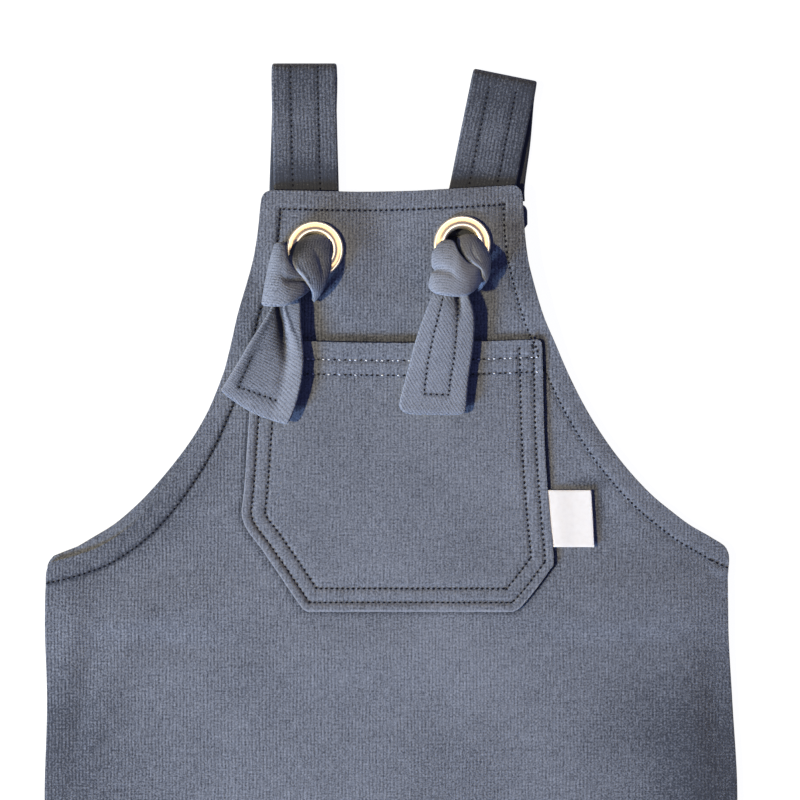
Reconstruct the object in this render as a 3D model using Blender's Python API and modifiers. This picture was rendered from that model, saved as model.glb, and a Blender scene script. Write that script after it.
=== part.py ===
# Dungarees for a small child, laid flat on their back with the straps knotted through two eyelets.
# X is across the garment, +Y runs from the leg hems to the shoulder folds, and Z rises from the surface.
# The tables below are in millimetres. "drop" is the distance down from the top edge of the bib.
import math
from collections import namedtuple

import bmesh
import bpy
from mathutils import Vector

MM = 0.001

CLOTH = 1.4          # thickness of the sweat jersey
TAPE_HALF = 14.25    # half the width of a strap
TAPE_DEEP = 1.0      # half its thickness: jersey folded to four layers and stitched
GAP = 0.3            # between pieces that touch
BIB_TOP = 267.3      # Y of the top edge of the bib, which puts Y = 0 in the middle of the garment
CROTCH_DROP = 360.0
HEM_DROP = 590.0
BACK_TOP_DROP = 6.0  # the back's top edge, where the straps are sewn on

BIB_LIFT = 3.0       # how far the bib lies above the back, because the straps run under it
LIFT_ENDS = (46.0, 84.0)
SEAT_LIFT = 1.6      # a little more under each eyelet, whose washer lies between bib and strap
SEAT_RADII = (17.0, 31.0)

BIB_HALF = 55.0
BIB_DIP = 0.9        # the bib's top edge hangs this low in the middle
BIB_CORNER_RISE = 1.8
BIB_TILT = 1.1
BIB_DIP_FADE = 26.0

EYELET_OUTER = 12.5
EYELET_HOLE = 7.0
EYELET_RISE = 2.2
EYELET_RIM = 0.4     # height of the ring's outer edge
EYELET_FLARE = 0.3   # the barrel's end, rolled outwards behind the washer
EYELET_FLARE_WIDTH = 0.5
BARREL_WALL = 0.5
WASHER = 0.8
WASHER_MARGIN = 0.5  # the washer is this much smaller than the ring all round
CLOTH_HOLE = 7.8
DOME_STEPS = 8
DOME_FULLNESS = 0.8
ROUND_STEPS = 28
CUTTER_DEPTH = 20.0

POCKET_DROP = 65.6
LABEL_THICKNESS = 1.0

Row = namedtuple("Row", "drop left right")
LegRow = namedtuple("LegRow", "drop outer_left inner_left inner_right outer_right")
Crease = namedtuple("Crease", "x drop length width height angle")
Station = namedtuple("Station", "drop x z half_width half_thick turn curl groove")
Eyelet = namedtuple("Eyelet", "side x drop")
Wrap = namedtuple("Wrap", "x drop z across rise length turn")

# The front: bib and armholes, then the straight sides down to the crotch.
FRONT_ROWS = (
    Row(0.0, -52.4, 53.2),
    Row(1.3, -55.2, 56.0),
    Row(4.4, -56.9, 57.7),
    Row(17.6, -58.1, 58.5),
    Row(28.6, -59.8, 59.8),
    Row(41.8, -63.4, 62.9),
    Row(55.0, -67.3, 66.9),
    Row(68.2, -70.4, 72.6),
    Row(81.4, -73.9, 78.3),
    Row(94.6, -79.2, 84.9),
    Row(107.8, -85.0, 92.8),
    Row(121.0, -92.4, 102.5),
    Row(134.2, -101.8, 114.8),
    Row(140.8, -107.4, 122.8),
    Row(147.4, -114.2, 131.6),
    Row(152.6, -121.2, 140.6),
    Row(157.4, -129.4, 147.4),
    Row(161.2, -140.0, 148.7),
    Row(164.4, -150.4, 148.8),
    Row(170.0, -151.8, 148.2),
    Row(190.0, -152.2, 148.4),
    Row(224.0, -151.2, 150.2),
    Row(268.0, -152.4, 152.4),
    Row(CROTCH_DROP, -152.4, 152.4),
)
# The back's armholes are cut a little wider at the left of the photograph, where they show past the front's.
BACK_ROWS = (
    Row(BACK_TOP_DROP, -52.0, 57.4),
    Row(8.0, -55.2, 60.0),
    Row(15.0, -56.0, 60.2),
    Row(19.0, -56.2, 57.4),
    Row(41.8, -61.4, 60.9),
    Row(68.2, -69.6, 70.4),
    Row(94.6, -79.4, 82.6),
    Row(107.8, -86.6, 90.4),
    Row(121.0, -96.2, 99.8),
    Row(134.2, -107.6, 112.0),
    Row(140.8, -114.4, 119.8),
    Row(147.4, -122.4, 128.8),
    Row(153.0, -131.6, 138.0),
    Row(157.6, -139.6, 145.0),
    Row(161.0, -148.6, 147.2),
    Row(165.6, -151.4, 147.8),
    Row(190.0, -152.2, 148.4),
    Row(224.0, -151.2, 150.2),
    Row(268.0, -152.4, 152.4),
    Row(CROTCH_DROP, -152.4, 152.4),
)
LEG_ROWS = (
    LegRow(CROTCH_DROP, -152.4, -5.0, 5.0, 152.4),
    LegRow(380.0, -152.0, -8.0, 8.0, 152.0),
    LegRow(430.0, -150.0, -11.5, 11.5, 150.0),
    LegRow(510.0, -146.0, -16.0, 16.0, 146.0),
    LegRow(HEM_DROP, -143.0, -19.0, 19.0, 143.0),
)
CROTCH_ARCH = 3.0
SPLIT_BLEND = 70.0   # the columns of the body gather towards the two legs over this height

# The pocket's lower corners are cut. On the table its left one starts higher than its right one.
POCKET_ROWS = (
    Row(POCKET_DROP, -57.6, 64.4),
    Row(67.4, -59.4, 66.2),
    Row(76.0, -60.6, 66.6),
    Row(105.0, -62.6, 67.3),
    Row(130.7, -64.4, 68.8),
    Row(142.6, -65.5, 69.8),
    Row(146.4, -64.6, 70.1),
    Row(158.4, -56.4, 71.3),
    Row(164.4, -52.3, 71.6),
    Row(167.4, -50.2, 69.6),
    Row(182.4, -40.0, 57.8),
    Row(185.4, -36.6, 53.4),
)
POCKET_TOP_LEFT = -60.0
POCKET_TOP_WIDTH = 126.0
POCKET_TOP_SAG = 1.6  # the pocket's top edge hangs this much lower in the middle
SAG_FADE = 20.0       # and is straight again this far down
POCKET_MOUTH = 0.8    # it stands this much off the bib there
MOUTH_FADE = 26.0     # and lies on it again this far down
REST_GAP = GAP + 0.05  # between a patch and the faceted front that it lies on

LABEL_ROWS = (
    Row(132.0, 69.5, 88.0),
    Row(144.0, 70.5, 88.7),
    Row(156.8, 71.9, 89.5),
)

CREASES = (
    Crease(-104.0, 184.0, 58.0, 13.0, 0.9, 4.0),
    Crease(104.0, 180.0, 84.0, 15.0, 1.1, -3.0),
    Crease(-10.0, 205.0, 90.0, 14.0, 0.6, 2.0),
    Crease(-142.0, 205.0, 44.0, 7.0, 0.9, 84.0),
    Crease(-126.0, 222.0, 46.0, 8.0, 0.7, 70.0),
    Crease(134.0, 250.0, 70.0, 12.0, 1.0, 96.0),
    Crease(96.0, 120.0, 40.0, 9.0, 0.8, -62.0),
    Crease(-66.0, 330.0, 60.0, 11.0, 1.3, 40.0),
    Crease(58.0, 322.0, 66.0, 12.0, 1.5, -36.0),
    Crease(-78.0, 440.0, 52.0, 10.0, 1.1, 8.0),
    Crease(84.0, 470.0, 48.0, 11.0, 1.2, -12.0),
    Crease(-96.0, 530.0, 40.0, 9.0, 0.8, -6.0),
)

EYELETS = (
    Eyelet("left", -33.2, 26.6),
    Eyelet("right", 31.2, 24.2),
)

# Each strap runs from its seam on the back's top edge up to the shoulder fold, down over itself, under the bib,
# up through its eyelet, through the knot and out as the tail. "turn" is the heading of its width, in degrees.
STRAP_STATIONS = {
    "left": (
        Station(5.3, -39.2, 1.0, TAPE_HALF, TAPE_DEEP, 0.0, 0.0, 0.0),
        Station(-2.0, -39.2, 1.0, TAPE_HALF, TAPE_DEEP, 0.0, 0.0, 0.0),
        Station(-24.0, -38.4, 1.0, TAPE_HALF, TAPE_DEEP, 0.0, 0.0, 0.0),
        Station(-46.0, -37.8, 1.0, TAPE_HALF, TAPE_DEEP, 0.0, 0.0, 0.0),
        Station(-51.4, -37.9, 1.1, TAPE_HALF, TAPE_DEEP, 0.0, 0.0, 0.0),
        Station(-54.0, -38.0, 1.6, TAPE_HALF, TAPE_DEEP, 0.0, 0.0, 0.0),
        Station(-54.7, -38.1, 2.5, TAPE_HALF, TAPE_DEEP, 0.0, 0.0, 0.0),
        Station(-54.0, -38.2, 3.4, TAPE_HALF, TAPE_DEEP, 0.0, 0.0, 0.0),
        Station(-51.4, -38.3, 3.6, TAPE_HALF, TAPE_DEEP, 0.0, 0.0, 0.0),
        Station(-46.0, -38.3, 3.5, TAPE_HALF, TAPE_DEEP, 1.0, 0.0, 0.0),
        Station(-24.0, -37.8, 3.3, TAPE_HALF, TAPE_DEEP, 2.0, 0.0, 0.0),
        Station(-2.0, -37.2, 3.3, TAPE_HALF, TAPE_DEEP, 2.0, 0.0, 0.0),
        Station(10.0, -36.0, 3.2, 13.2, 1.0, 3.0, 0.0, 0.0),
        Station(17.2, -34.2, 2.9, 9.6, 1.0, 3.0, 0.0, 0.0),
        Station(21.9, -33.4, 3.1, 6.2, 1.1, 0.0, 0.0, 0.0),
        Station(25.6, -33.2, 5.6, 5.6, 1.8, 0.0, 0.0, 0.0),
        Station(26.8, -33.2, 9.4, 5.6, 2.4, -2.0, 0.0, 0.0),
        Station(29.8, -34.0, 13.4, 7.0, 2.6, -8.0, 0.0, 0.0),
        Station(35.0, -37.2, 15.4, 9.0, 3.4, -18.0, 0.0, 0.0),
        Station(40.5, -41.6, 15.6, 10.4, 4.0, -20.0, 0.0, 0.0),
        Station(45.5, -45.6, 13.8, 9.6, 3.6, -18.0, 0.0, 0.0),
        Station(50.0, -48.2, 12.4, 8.4, 2.2, -12.0, 0.0, 0.8),
        Station(58.0, -49.8, 11.0, 9.6, 1.4, -14.0, 0.8, 1.4),
        Station(70.0, -52.4, 9.6, 13.0, 1.1, -18.0, 1.8, 1.2),
        Station(82.0, -55.4, 8.2, 14.6, 1.0, -24.0, 2.2, 0.6),
        Station(94.6, -60.0, 6.7, 15.6, 1.0, -29.0, 1.8, 0.2),
        Station(95.7, -60.6, 6.6, 15.0, 0.8, -29.5, 1.6, 0.2),
    ),
    "right": (
        Station(4.9, 44.7, 1.0, TAPE_HALF, TAPE_DEEP, 0.0, 0.0, 0.0),
        Station(-2.0, 44.7, 1.0, TAPE_HALF, TAPE_DEEP, 0.0, 0.0, 0.0),
        Station(-22.0, 47.2, 1.0, TAPE_HALF, TAPE_DEEP, -7.0, 0.0, 0.0),
        Station(-41.0, 48.9, 1.0, TAPE_HALF, TAPE_DEEP, -11.0, 0.0, 0.0),
        Station(-46.4, 49.7, 1.1, TAPE_HALF, TAPE_DEEP, -11.5, 0.0, 0.0),
        Station(-49.0, 50.1, 1.6, TAPE_HALF, TAPE_DEEP, -11.5, 0.0, 0.0),
        Station(-49.7, 50.2, 2.5, TAPE_HALF, TAPE_DEEP, -11.5, 0.0, 0.0),
        Station(-49.0, 50.0, 3.4, TAPE_HALF, TAPE_DEEP, -11.5, 0.0, 0.0),
        Station(-46.4, 49.4, 3.6, TAPE_HALF, TAPE_DEEP, -11.5, 0.0, 0.0),
        Station(-41.0, 48.3, 3.5, TAPE_HALF, TAPE_DEEP, -11.5, 0.0, 0.0),
        Station(-22.0, 44.4, 3.3, TAPE_HALF, TAPE_DEEP, -11.0, 0.0, 0.0),
        Station(-3.0, 40.6, 3.3, TAPE_HALF, TAPE_DEEP, -12.0, 0.0, 0.0),
        Station(8.0, 37.4, 3.2, 13.2, 1.0, -14.0, 0.0, 0.0),
        Station(14.8, 34.0, 2.9, 9.6, 1.0, -12.0, 0.0, 0.0),
        Station(19.5, 31.8, 3.1, 6.2, 1.1, -6.0, 0.0, 0.0),
        Station(23.2, 31.2, 5.6, 5.6, 1.8, 0.0, 0.0, 0.0),
        Station(24.4, 31.2, 9.4, 5.6, 2.4, 0.0, 0.0, 0.0),
        Station(27.4, 31.4, 13.4, 7.0, 2.6, 0.0, 0.0, 0.0),
        Station(32.4, 31.2, 15.4, 9.4, 3.4, -2.0, 0.0, 0.0),
        Station(38.0, 30.0, 15.6, 10.4, 4.0, -4.0, 0.0, 0.0),
        Station(43.0, 28.4, 13.8, 9.4, 3.6, -5.0, 0.0, 0.0),
        Station(48.0, 27.0, 12.4, 8.4, 2.2, -6.0, 0.0, 0.8),
        Station(58.0, 26.0, 11.0, 10.4, 1.4, -7.0, 0.2, 1.0),
        Station(74.0, 23.4, 9.0, 13.2, 1.1, -8.0, 0.3, 0.5),
        Station(88.0, 20.2, 7.2, 14.6, 1.0, -7.0, 0.2, 0.2),
        Station(96.8, 18.6, 6.6, 14.8, 1.0, -3.0, 0.0, 0.0),
        Station(98.0, 18.4, 6.6, 14.2, 0.8, -3.0, 0.0, 0.0),
    ),
}
# The turn of tape that closes each knot, an oval band round the strap.
WRAPS = {
    "left": Wrap(-44.2, 38.8, 16.4, 12.2, 4.6, 19.0, -26.0),
    "right": Wrap(29.6, 36.6, 16.4, 11.8, 4.6, 18.0, 4.0),
}
WRAP_THICKNESS = 2.2
WRAP_TAPER = 0.14    # its underside is shorter along the strap than its top by twice this share
WRAP_STEPS = 24
WRAP_POINTS = 12
# Across a tail, from -1 at its left edge to 1 at its right one: where it curls up, and where its groove runs.
CURL_START = 0.2
GROOVE_PLACE = 0.15
GROOVE_WIDTH = 0.22

COLLECTION = "dungarees"
CUTTERS = "cutters"


def smooth(t):
    """Ease from 0 to 1."""
    t = max(0.0, min(1.0, t))
    return t * t * (3.0 - 2.0 * t)


def between(rows, drop):
    """Values of a table at one drop, joined by straight runs."""
    if drop <= rows[0].drop:
        return rows[0]
    for above, below in zip(rows, rows[1:]):
        if drop <= below.drop:
            t = (drop - above.drop) / (below.drop - above.drop)
            return type(above)(*(a + (b - a) * t for a, b in zip(above, below)))
    return rows[-1]


def drops(*spans):
    """Drops of a mesh's rows: each span is (first, last, number of steps)."""
    values = []
    for first, last, steps in spans:
        for i in range(steps):
            values.append(first + (last - first) * i / steps)
    values.append(spans[-1][1])
    return values


def crease_height(x, drop):
    total = 0.0
    for c in CREASES:
        a = math.radians(c.angle)
        along = (x - c.x) * math.cos(a) - (drop - c.drop) * math.sin(a)
        across = (x - c.x) * math.sin(a) + (drop - c.drop) * math.cos(a)
        total += c.height * math.exp(-(along / c.length) ** 2 * 2.0 - (across / c.width) ** 2)
    return total


def front_under(x, drop):
    """Height of the front's lower face."""
    lift = BIB_LIFT * (1.0 - smooth((drop - LIFT_ENDS[0]) / (LIFT_ENDS[1] - LIFT_ENDS[0])))
    seat = 0.0
    for e in EYELETS:
        r = math.hypot(x - e.x, drop - e.drop)
        seat = max(seat, 1.0 - smooth((r - SEAT_RADII[0]) / (SEAT_RADII[1] - SEAT_RADII[0])))
    return CLOTH + GAP + lift + SEAT_LIFT * seat + crease_height(x, drop)


def front_top(x, drop):
    return front_under(x, drop) + CLOTH


def bib_edge_dip(x, drop):
    """The bib's top edge dips in the middle and rises to its right corner."""
    side = x / BIB_HALF
    dip = BIB_DIP - BIB_CORNER_RISE * side ** 2 - BIB_TILT * side
    return dip * (1.0 - smooth(drop / BIB_DIP_FADE))


def new_object(name, mesh, material):
    obj = bpy.data.objects.new(name, mesh)
    bpy.data.collections[COLLECTION].objects.link(obj)
    obj.data.materials.append(material)
    return obj


def material(name, colour, roughness, metallic):
    mat = bpy.data.materials.new(name)
    mat.use_nodes = True
    shader = mat.node_tree.nodes["Principled BSDF"]
    shader.inputs["Base Color"].default_value = (*colour, 1.0)
    shader.inputs["Roughness"].default_value = roughness
    shader.inputs["Metallic"].default_value = metallic
    return mat


def cloth_wall(name, grid, skipped, thickness, mat):
    """An open sheet from a grid of points in millimetres, thickened upwards by Solidify.

    skipped(row, column) leaves out a cell.
    """
    bm = bmesh.new()
    verts = [[bm.verts.new(Vector(p) * MM) for p in row] for row in grid]
    for i in range(len(grid) - 1):
        for j in range(len(grid[0]) - 1):
            if not skipped(i, j):
                bm.faces.new((verts[i][j], verts[i + 1][j], verts[i + 1][j + 1], verts[i][j + 1]))
    for v in [v for v in bm.verts if not v.link_faces]:
        bm.verts.remove(v)
    mesh = bpy.data.meshes.new(name)
    bm.to_mesh(mesh)
    bm.free()
    obj = new_object(name, mesh, mat)
    wall = obj.modifiers.new("wall", "SOLIDIFY")
    wall.thickness = thickness * MM
    wall.offset = 1.0
    return obj


def body_grid(rows, row_drops, leg_drops, columns, height, dip):
    """Points of the front or back: one sheet to the crotch, two legs below it."""
    middle = columns // 2
    grid = []
    for drop in row_drops:
        row = between(rows, drop)
        split = smooth((drop - CROTCH_DROP + SPLIT_BLEND) / SPLIT_BLEND)
        points = []
        for j in range(columns + 1):
            even = row.left + (row.right - row.left) * j / columns
            x = even * (1.0 - split) + leg_x(between(LEG_ROWS, CROTCH_DROP), j, middle) * split
            y = BIB_TOP - drop - dip(x, drop)
            if drop >= CROTCH_DROP and j == middle:
                y += CROTCH_ARCH
            points.append((x, y, height(x, drop)))
        grid.append(points)
    for drop in leg_drops:
        row = between(LEG_ROWS, drop)
        points = []
        for j in range(columns + 1):
            x = leg_x(row, j, middle)
            points.append((x, BIB_TOP - drop, height(x, drop)))
        grid.append(points)
    return grid


def leg_x(row, j, middle):
    if j < middle:
        return row.outer_left + (row.inner_left - row.outer_left) * j / (middle - 1)
    if j > middle:
        return row.inner_right + (row.outer_right - row.inner_right) * (j - middle - 1) / (middle - 1)
    return 0.0


def body_panel(name, rows, row_drops, leg_drops, columns, height, dip, mat):
    grid = body_grid(rows, row_drops, leg_drops, columns, height, dip)
    first_leg_row = len(row_drops) - 1
    middle = columns // 2

    def between_legs(i, j):
        return i >= first_leg_row and j in (middle - 1, middle)

    return cloth_wall(name, grid, between_legs, CLOTH, mat)


def patch(name, rows, row_drops, columns, height, sag, thickness, mat):
    """A piece that lies on the front, from rows between two slanting sides."""
    grid = []
    for drop in row_drops:
        row = between(rows, drop)
        points = []
        for j in range(columns + 1):
            x = row.left + (row.right - row.left) * j / columns
            y = BIB_TOP - drop - sag(x, drop)
            points.append((x, y, height(x, drop)))
        grid.append(points)
    return cloth_wall(name, grid, lambda i, j: False, thickness, mat)


def pocket_slack(x):
    """How free the pocket's top edge is: 0 at its two sewn ends and 1 in the middle."""
    return math.sin(math.pi * max(0.0, min(1.0, (x - POCKET_TOP_LEFT) / POCKET_TOP_WIDTH)))


def pocket_sag(x, drop):
    return POCKET_TOP_SAG * pocket_slack(x) * (1.0 - smooth((drop - POCKET_DROP) / SAG_FADE))


def pocket_under(x, drop):
    mouth = POCKET_MOUTH * pocket_slack(x) * (1.0 - smooth((drop - POCKET_DROP) / MOUTH_FADE))
    return front_top(x, drop + pocket_sag(x, drop)) + REST_GAP + mouth


def label_under(x, drop):
    return front_top(x, drop) + REST_GAP


def tape_section(station):
    """Outline of the tape's section as (across, out) in millimetres: two flat faces and two round edges."""
    flat = station.half_width - station.half_thick
    outline = []
    for side in (1, -1):
        for k in range(5):
            a = math.radians(-90 + 45 * k) + (0.0 if side > 0 else math.pi)
            outline.append((side * flat + station.half_thick * math.cos(a), station.half_thick * math.sin(a)))
        for k in range(1, 6):
            outline.append((side * flat * (1.0 - k / 3.0), side * station.half_thick))
    bent = []
    for across, out in outline:
        u = across / station.half_width
        curl = station.curl * (max(0.0, u - CURL_START) / (1.0 - CURL_START)) ** 2
        groove = station.groove * math.exp(-((u - GROOVE_PLACE) / GROOVE_WIDTH) ** 2)
        bent.append((across, out + curl - groove))
    return bent


def eased(stations, steps):
    """The stations of a strap with smooth points between them."""
    result = []
    count = len(stations)
    for i in range(count - 1):
        p0 = stations[max(i - 1, 0)]
        p1 = stations[i]
        p2 = stations[i + 1]
        p3 = stations[min(i + 2, count - 1)]
        for k in range(steps):
            t = k / steps
            result.append(Station(*(
                0.5 * (2 * b + (c - a) * t + (2 * a - 5 * b + 4 * c - d) * t * t + (3 * b - a - 3 * c + d) * t ** 3)
                for a, b, c, d in zip(p0, p1, p2, p3)
            )))
    result.append(stations[-1])
    return result


def strap(side, mat):
    stations = eased(STRAP_STATIONS[side], 2)
    points = [Vector((s.x, BIB_TOP - s.drop, s.z)) for s in stations]
    bm = bmesh.new()
    rings = []
    for i, s in enumerate(stations):
        tangent = (points[min(i + 1, len(points) - 1)] - points[max(i - 1, 0)]).normalized()
        a = math.radians(s.turn)
        width = Vector((math.cos(a), math.sin(a), 0.0))
        width = (width - tangent * width.dot(tangent)).normalized()
        out = tangent.cross(width)
        rings.append([bm.verts.new((points[i] + width * u + out * w) * MM) for u, w in tape_section(s)])
    close_rings(bm, rings, False)
    mesh = bpy.data.meshes.new("strap_" + side)
    bm.to_mesh(mesh)
    bm.free()
    obj = new_object("strap_" + side, mesh, mat)
    obj.data.shade_smooth()
    union = obj.modifiers.new("knot", "BOOLEAN")
    union.operation = "UNION"
    union.object = knot_wrap(side)
    return obj


def close_rings(bm, rings, loop):
    """Bridge rings of equal length, as a tube with two ends or as a closed loop, and face it outwards."""
    count = len(rings[0])
    pairs = list(zip(rings, rings[1:]))
    if loop:
        pairs.append((rings[-1], rings[0]))
    for near, far in pairs:
        for k in range(count):
            bm.faces.new((near[k], near[(k + 1) % count], far[(k + 1) % count], far[k]))
    if not loop:
        bm.faces.new(rings[0][::-1])
        bm.faces.new(rings[-1])
    bmesh.ops.recalc_face_normals(bm, faces=bm.faces)


def knot_wrap(side):
    """The oval band of a knot, as a guide that the strap takes into itself."""
    w = WRAPS[side]
    a = math.radians(w.turn)
    across = Vector((math.cos(a), math.sin(a), 0.0))
    along = Vector((-math.sin(a), math.cos(a), 0.0))
    centre = Vector((w.x, BIB_TOP - w.drop, w.z))
    bm = bmesh.new()
    rings = []
    for i in range(WRAP_STEPS):
        t = 2 * math.pi * i / WRAP_STEPS
        radial = Vector((math.cos(t), 0.0, math.sin(t)))
        spine = centre + across * (w.across - WRAP_THICKNESS / 2) * radial.x + Vector((0, 0, 1)) * w.rise * radial.z
        outward = (across * radial.x / w.across + Vector((0, 0, 1)) * radial.z / w.rise).normalized()
        ring = []
        half = w.length / 2 * (1.0 - WRAP_TAPER + WRAP_TAPER * math.sin(t))
        for k in range(WRAP_POINTS):
            b = 2 * math.pi * k / WRAP_POINTS
            ring.append(bm.verts.new((spine + along * half * math.cos(b) + outward * WRAP_THICKNESS / 2
                                      * math.sin(b)) * MM))
        rings.append(ring)
    close_rings(bm, rings, True)
    mesh = bpy.data.meshes.new("wrap_" + side)
    bm.to_mesh(mesh)
    bm.free()
    guide = bpy.data.objects.new("wrap_" + side, mesh)
    guide.hide_render = True
    guide.display_type = "WIRE"
    bpy.data.collections[CUTTERS].objects.link(guide)
    return guide


def turned(name, profile, centre, steps, mat):
    """A ring turned from a closed profile of (radius, height), placed by its location."""
    bm = bmesh.new()
    verts = [bm.verts.new((r * MM, 0.0, z * MM)) for r, z in profile]
    for a, b in zip(verts, verts[1:] + verts[:1]):
        bm.edges.new((a, b))
    mesh = bpy.data.meshes.new(name)
    bm.to_mesh(mesh)
    bm.free()
    obj = new_object(name, mesh, mat)
    obj.location = Vector(centre) * MM
    screw = obj.modifiers.new("turn", "SCREW")
    screw.steps = steps
    screw.render_steps = steps
    screw.use_merge_vertices = True
    screw.merge_threshold = 0.00001
    return obj


def eyelet(e, metal):
    """Ring and barrel of an eyelet, from its crown at the outside down the barrel to the flared end."""
    barrel = EYELET_HOLE + BARREL_WALL
    end = -(CLOTH + GAP + WASHER + GAP)
    dome = []
    middle = (EYELET_OUTER + EYELET_HOLE) / 2
    half = (EYELET_OUTER - EYELET_HOLE) / 2
    for k in range(DOME_STEPS + 1):
        a = math.pi * k / DOME_STEPS
        rise = (EYELET_RISE - EYELET_RIM) * math.sin(a) ** DOME_FULLNESS
        dome.append((middle + half * math.cos(a), GAP + EYELET_RIM + rise))
    flare = CLOTH_HOLE + EYELET_FLARE_WIDTH
    profile = [(EYELET_OUTER - EYELET_RIM / 2, GAP)] + dome + [
        (EYELET_HOLE, end - EYELET_FLARE),
        (flare, end - EYELET_FLARE),
        (flare, end),
        (barrel, end),
        (barrel, GAP),
    ]
    top = front_top(e.x, e.drop)
    turned("eyelet_" + e.side, profile[::-1], (e.x, BIB_TOP - e.drop, top), ROUND_STEPS, metal)
    low = -(CLOTH + GAP + WASHER)
    edge = EYELET_OUTER - WASHER_MARGIN
    ring = [(edge, low + WASHER), (edge, low), (CLOTH_HOLE, low), (CLOTH_HOLE, low + WASHER)]
    turned("washer_" + e.side, ring, (e.x, BIB_TOP - e.drop, top), ROUND_STEPS, metal)


def eyelet_cutter(e):
    place = Vector((e.x, BIB_TOP - e.drop, front_top(e.x, e.drop))) * MM
    bpy.ops.mesh.primitive_cylinder_add(vertices=ROUND_STEPS, radius=CLOTH_HOLE * MM, depth=CUTTER_DEPTH * MM,
                                        location=place)
    cutter = bpy.context.object
    cutter.name = "hole_" + e.side
    cutter.hide_render = True
    cutter.display_type = "WIRE"
    for c in list(cutter.users_collection):
        c.objects.unlink(cutter)
    bpy.data.collections[CUTTERS].objects.link(cutter)
    return cutter


def build():
    for obj in list(bpy.data.objects):
        bpy.data.objects.remove(obj, do_unlink=True)
    for name in (COLLECTION, CUTTERS):
        bpy.context.scene.collection.children.link(bpy.data.collections.new(name))

    jersey = material("slate sweat jersey", (0.085, 0.095, 0.125), 0.92, 0.0)
    tape = material("white woven tape", (0.86, 0.85, 0.84), 0.8, 0.0)
    metal = material("polished nickel", (0.80, 0.74, 0.66), 0.18, 1.0)

    body_panel("back", BACK_ROWS,
               drops((6.0, 8.0, 1), (8.0, 15.0, 1), (15.0, 19.0, 1), (19.0, 107.8, 5), (107.8, 147.4, 5),
                     (147.4, 165.6, 5), (165.6, CROTCH_DROP, 6)),
               drops((CROTCH_DROP, HEM_DROP, 6))[1:], 16, lambda x, drop: 0.0, lambda x, drop: 0.0, jersey)
    front = body_panel("front", FRONT_ROWS,
                       drops((0.0, 1.3, 1), (1.3, 4.4, 1), (4.4, 84.0, 15), (84.0, 147.4, 7), (147.4, 170.0, 6),
                             (170.0, CROTCH_DROP, 14)),
                       drops((CROTCH_DROP, HEM_DROP, 12))[1:], 24, front_under, bib_edge_dip, jersey)
    for e in EYELETS:
        cut = front.modifiers.new("hole " + e.side, "BOOLEAN")
        cut.object = eyelet_cutter(e)
        eyelet(e, metal)
    patch("pocket", POCKET_ROWS,
          drops((POCKET_DROP, 67.4, 1), (67.4, 105.0, 5), (105.0, 142.6, 4), (142.6, 146.4, 1), (146.4, 164.4, 3),
                (164.4, 185.4, 4)),
          16, pocket_under, pocket_sag, CLOTH, jersey)
    patch("label", LABEL_ROWS, drops((132.0, 156.8, 3)), 3, label_under, lambda x, drop: 0.0,
          LABEL_THICKNESS, tape)
    for side in STRAP_STATIONS:
        strap(side, jersey)


build()
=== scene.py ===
# %% [markdown]
# # A small child's dungarees, laid flat
# The garment is two cuts of slate sweat jersey, a patch pocket, a blank tape label and two straps that come
# over the shoulders, pass up through pressed eyelets and end in a knot with a free tail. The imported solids
# are the fixed frame. Every cloth piece below is a thin shell on its solid's form. Lengths in the tables
# are millimetres, and "drop" is the distance down from the bib's top edge.

import math
from collections import namedtuple

import bmesh
import bpy
import numpy as np
from mathutils import Matrix, Vector


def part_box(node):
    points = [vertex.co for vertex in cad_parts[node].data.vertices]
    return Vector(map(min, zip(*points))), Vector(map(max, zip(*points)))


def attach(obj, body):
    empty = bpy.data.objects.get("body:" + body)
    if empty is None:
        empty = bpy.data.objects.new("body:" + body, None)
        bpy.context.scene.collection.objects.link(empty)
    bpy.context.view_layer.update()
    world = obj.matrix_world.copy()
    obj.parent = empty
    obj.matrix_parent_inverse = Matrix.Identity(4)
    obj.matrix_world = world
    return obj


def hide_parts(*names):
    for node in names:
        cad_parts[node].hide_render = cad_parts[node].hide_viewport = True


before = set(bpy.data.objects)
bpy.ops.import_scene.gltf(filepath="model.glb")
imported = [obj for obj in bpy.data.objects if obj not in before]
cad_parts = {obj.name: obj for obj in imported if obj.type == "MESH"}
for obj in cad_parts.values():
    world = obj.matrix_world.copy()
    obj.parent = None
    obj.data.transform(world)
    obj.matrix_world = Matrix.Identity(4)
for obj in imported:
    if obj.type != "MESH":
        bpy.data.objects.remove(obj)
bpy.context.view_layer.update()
MM = 0.001
print("frame:", sorted(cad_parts))

# %% [markdown]
# ## Measures taken from the frame
# The eyelets tell where the bib's top edge lies, because the left one is pressed in 26.6 mm below it. The
# back's thickness and the washers' upper faces tell how high the front lies, here and over the straps. A
# fade is written as two lengths: where it starts and how far it runs.

# %% Measures
LEFT_EYELET_DROP = 26.6
GAP = 0.3


def node_middle(node):
    low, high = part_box(node)
    return (low + high) / 2 / MM


BIB_TOP = node_middle("eyelet_left").y + LEFT_EYELET_DROP
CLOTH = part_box("back")[1].z / MM
SEAT_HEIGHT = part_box("washer_left")[1].z / MM + GAP
BIB_LIFT = 3.0
LIFT_FADE = (46.0, 38.0)
SEAT_LIFT = SEAT_HEIGHT - CLOTH - GAP - BIB_LIFT
SEAT_FADE = (15.0, 16.0)
CROTCH_DROP = 360.0
HEM_DROP = 590.0
EYELET_CENTRES = [(node_middle(n).x, BIB_TOP - node_middle(n).y) for n in ("eyelet_left", "eyelet_right")]
print("bib top at Y", round(BIB_TOP, 1), "cloth", round(CLOTH, 2), "eyelets", EYELET_CENTRES)

# %% [markdown]
# ## The camera
# The photograph looks straight down on the upper half of the garment. A long lens keeps the bib and the
# knots, which stand highest, from growing against the rest. One pixel of the 800 covers 0.44 mm on the
# cloth.

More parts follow.
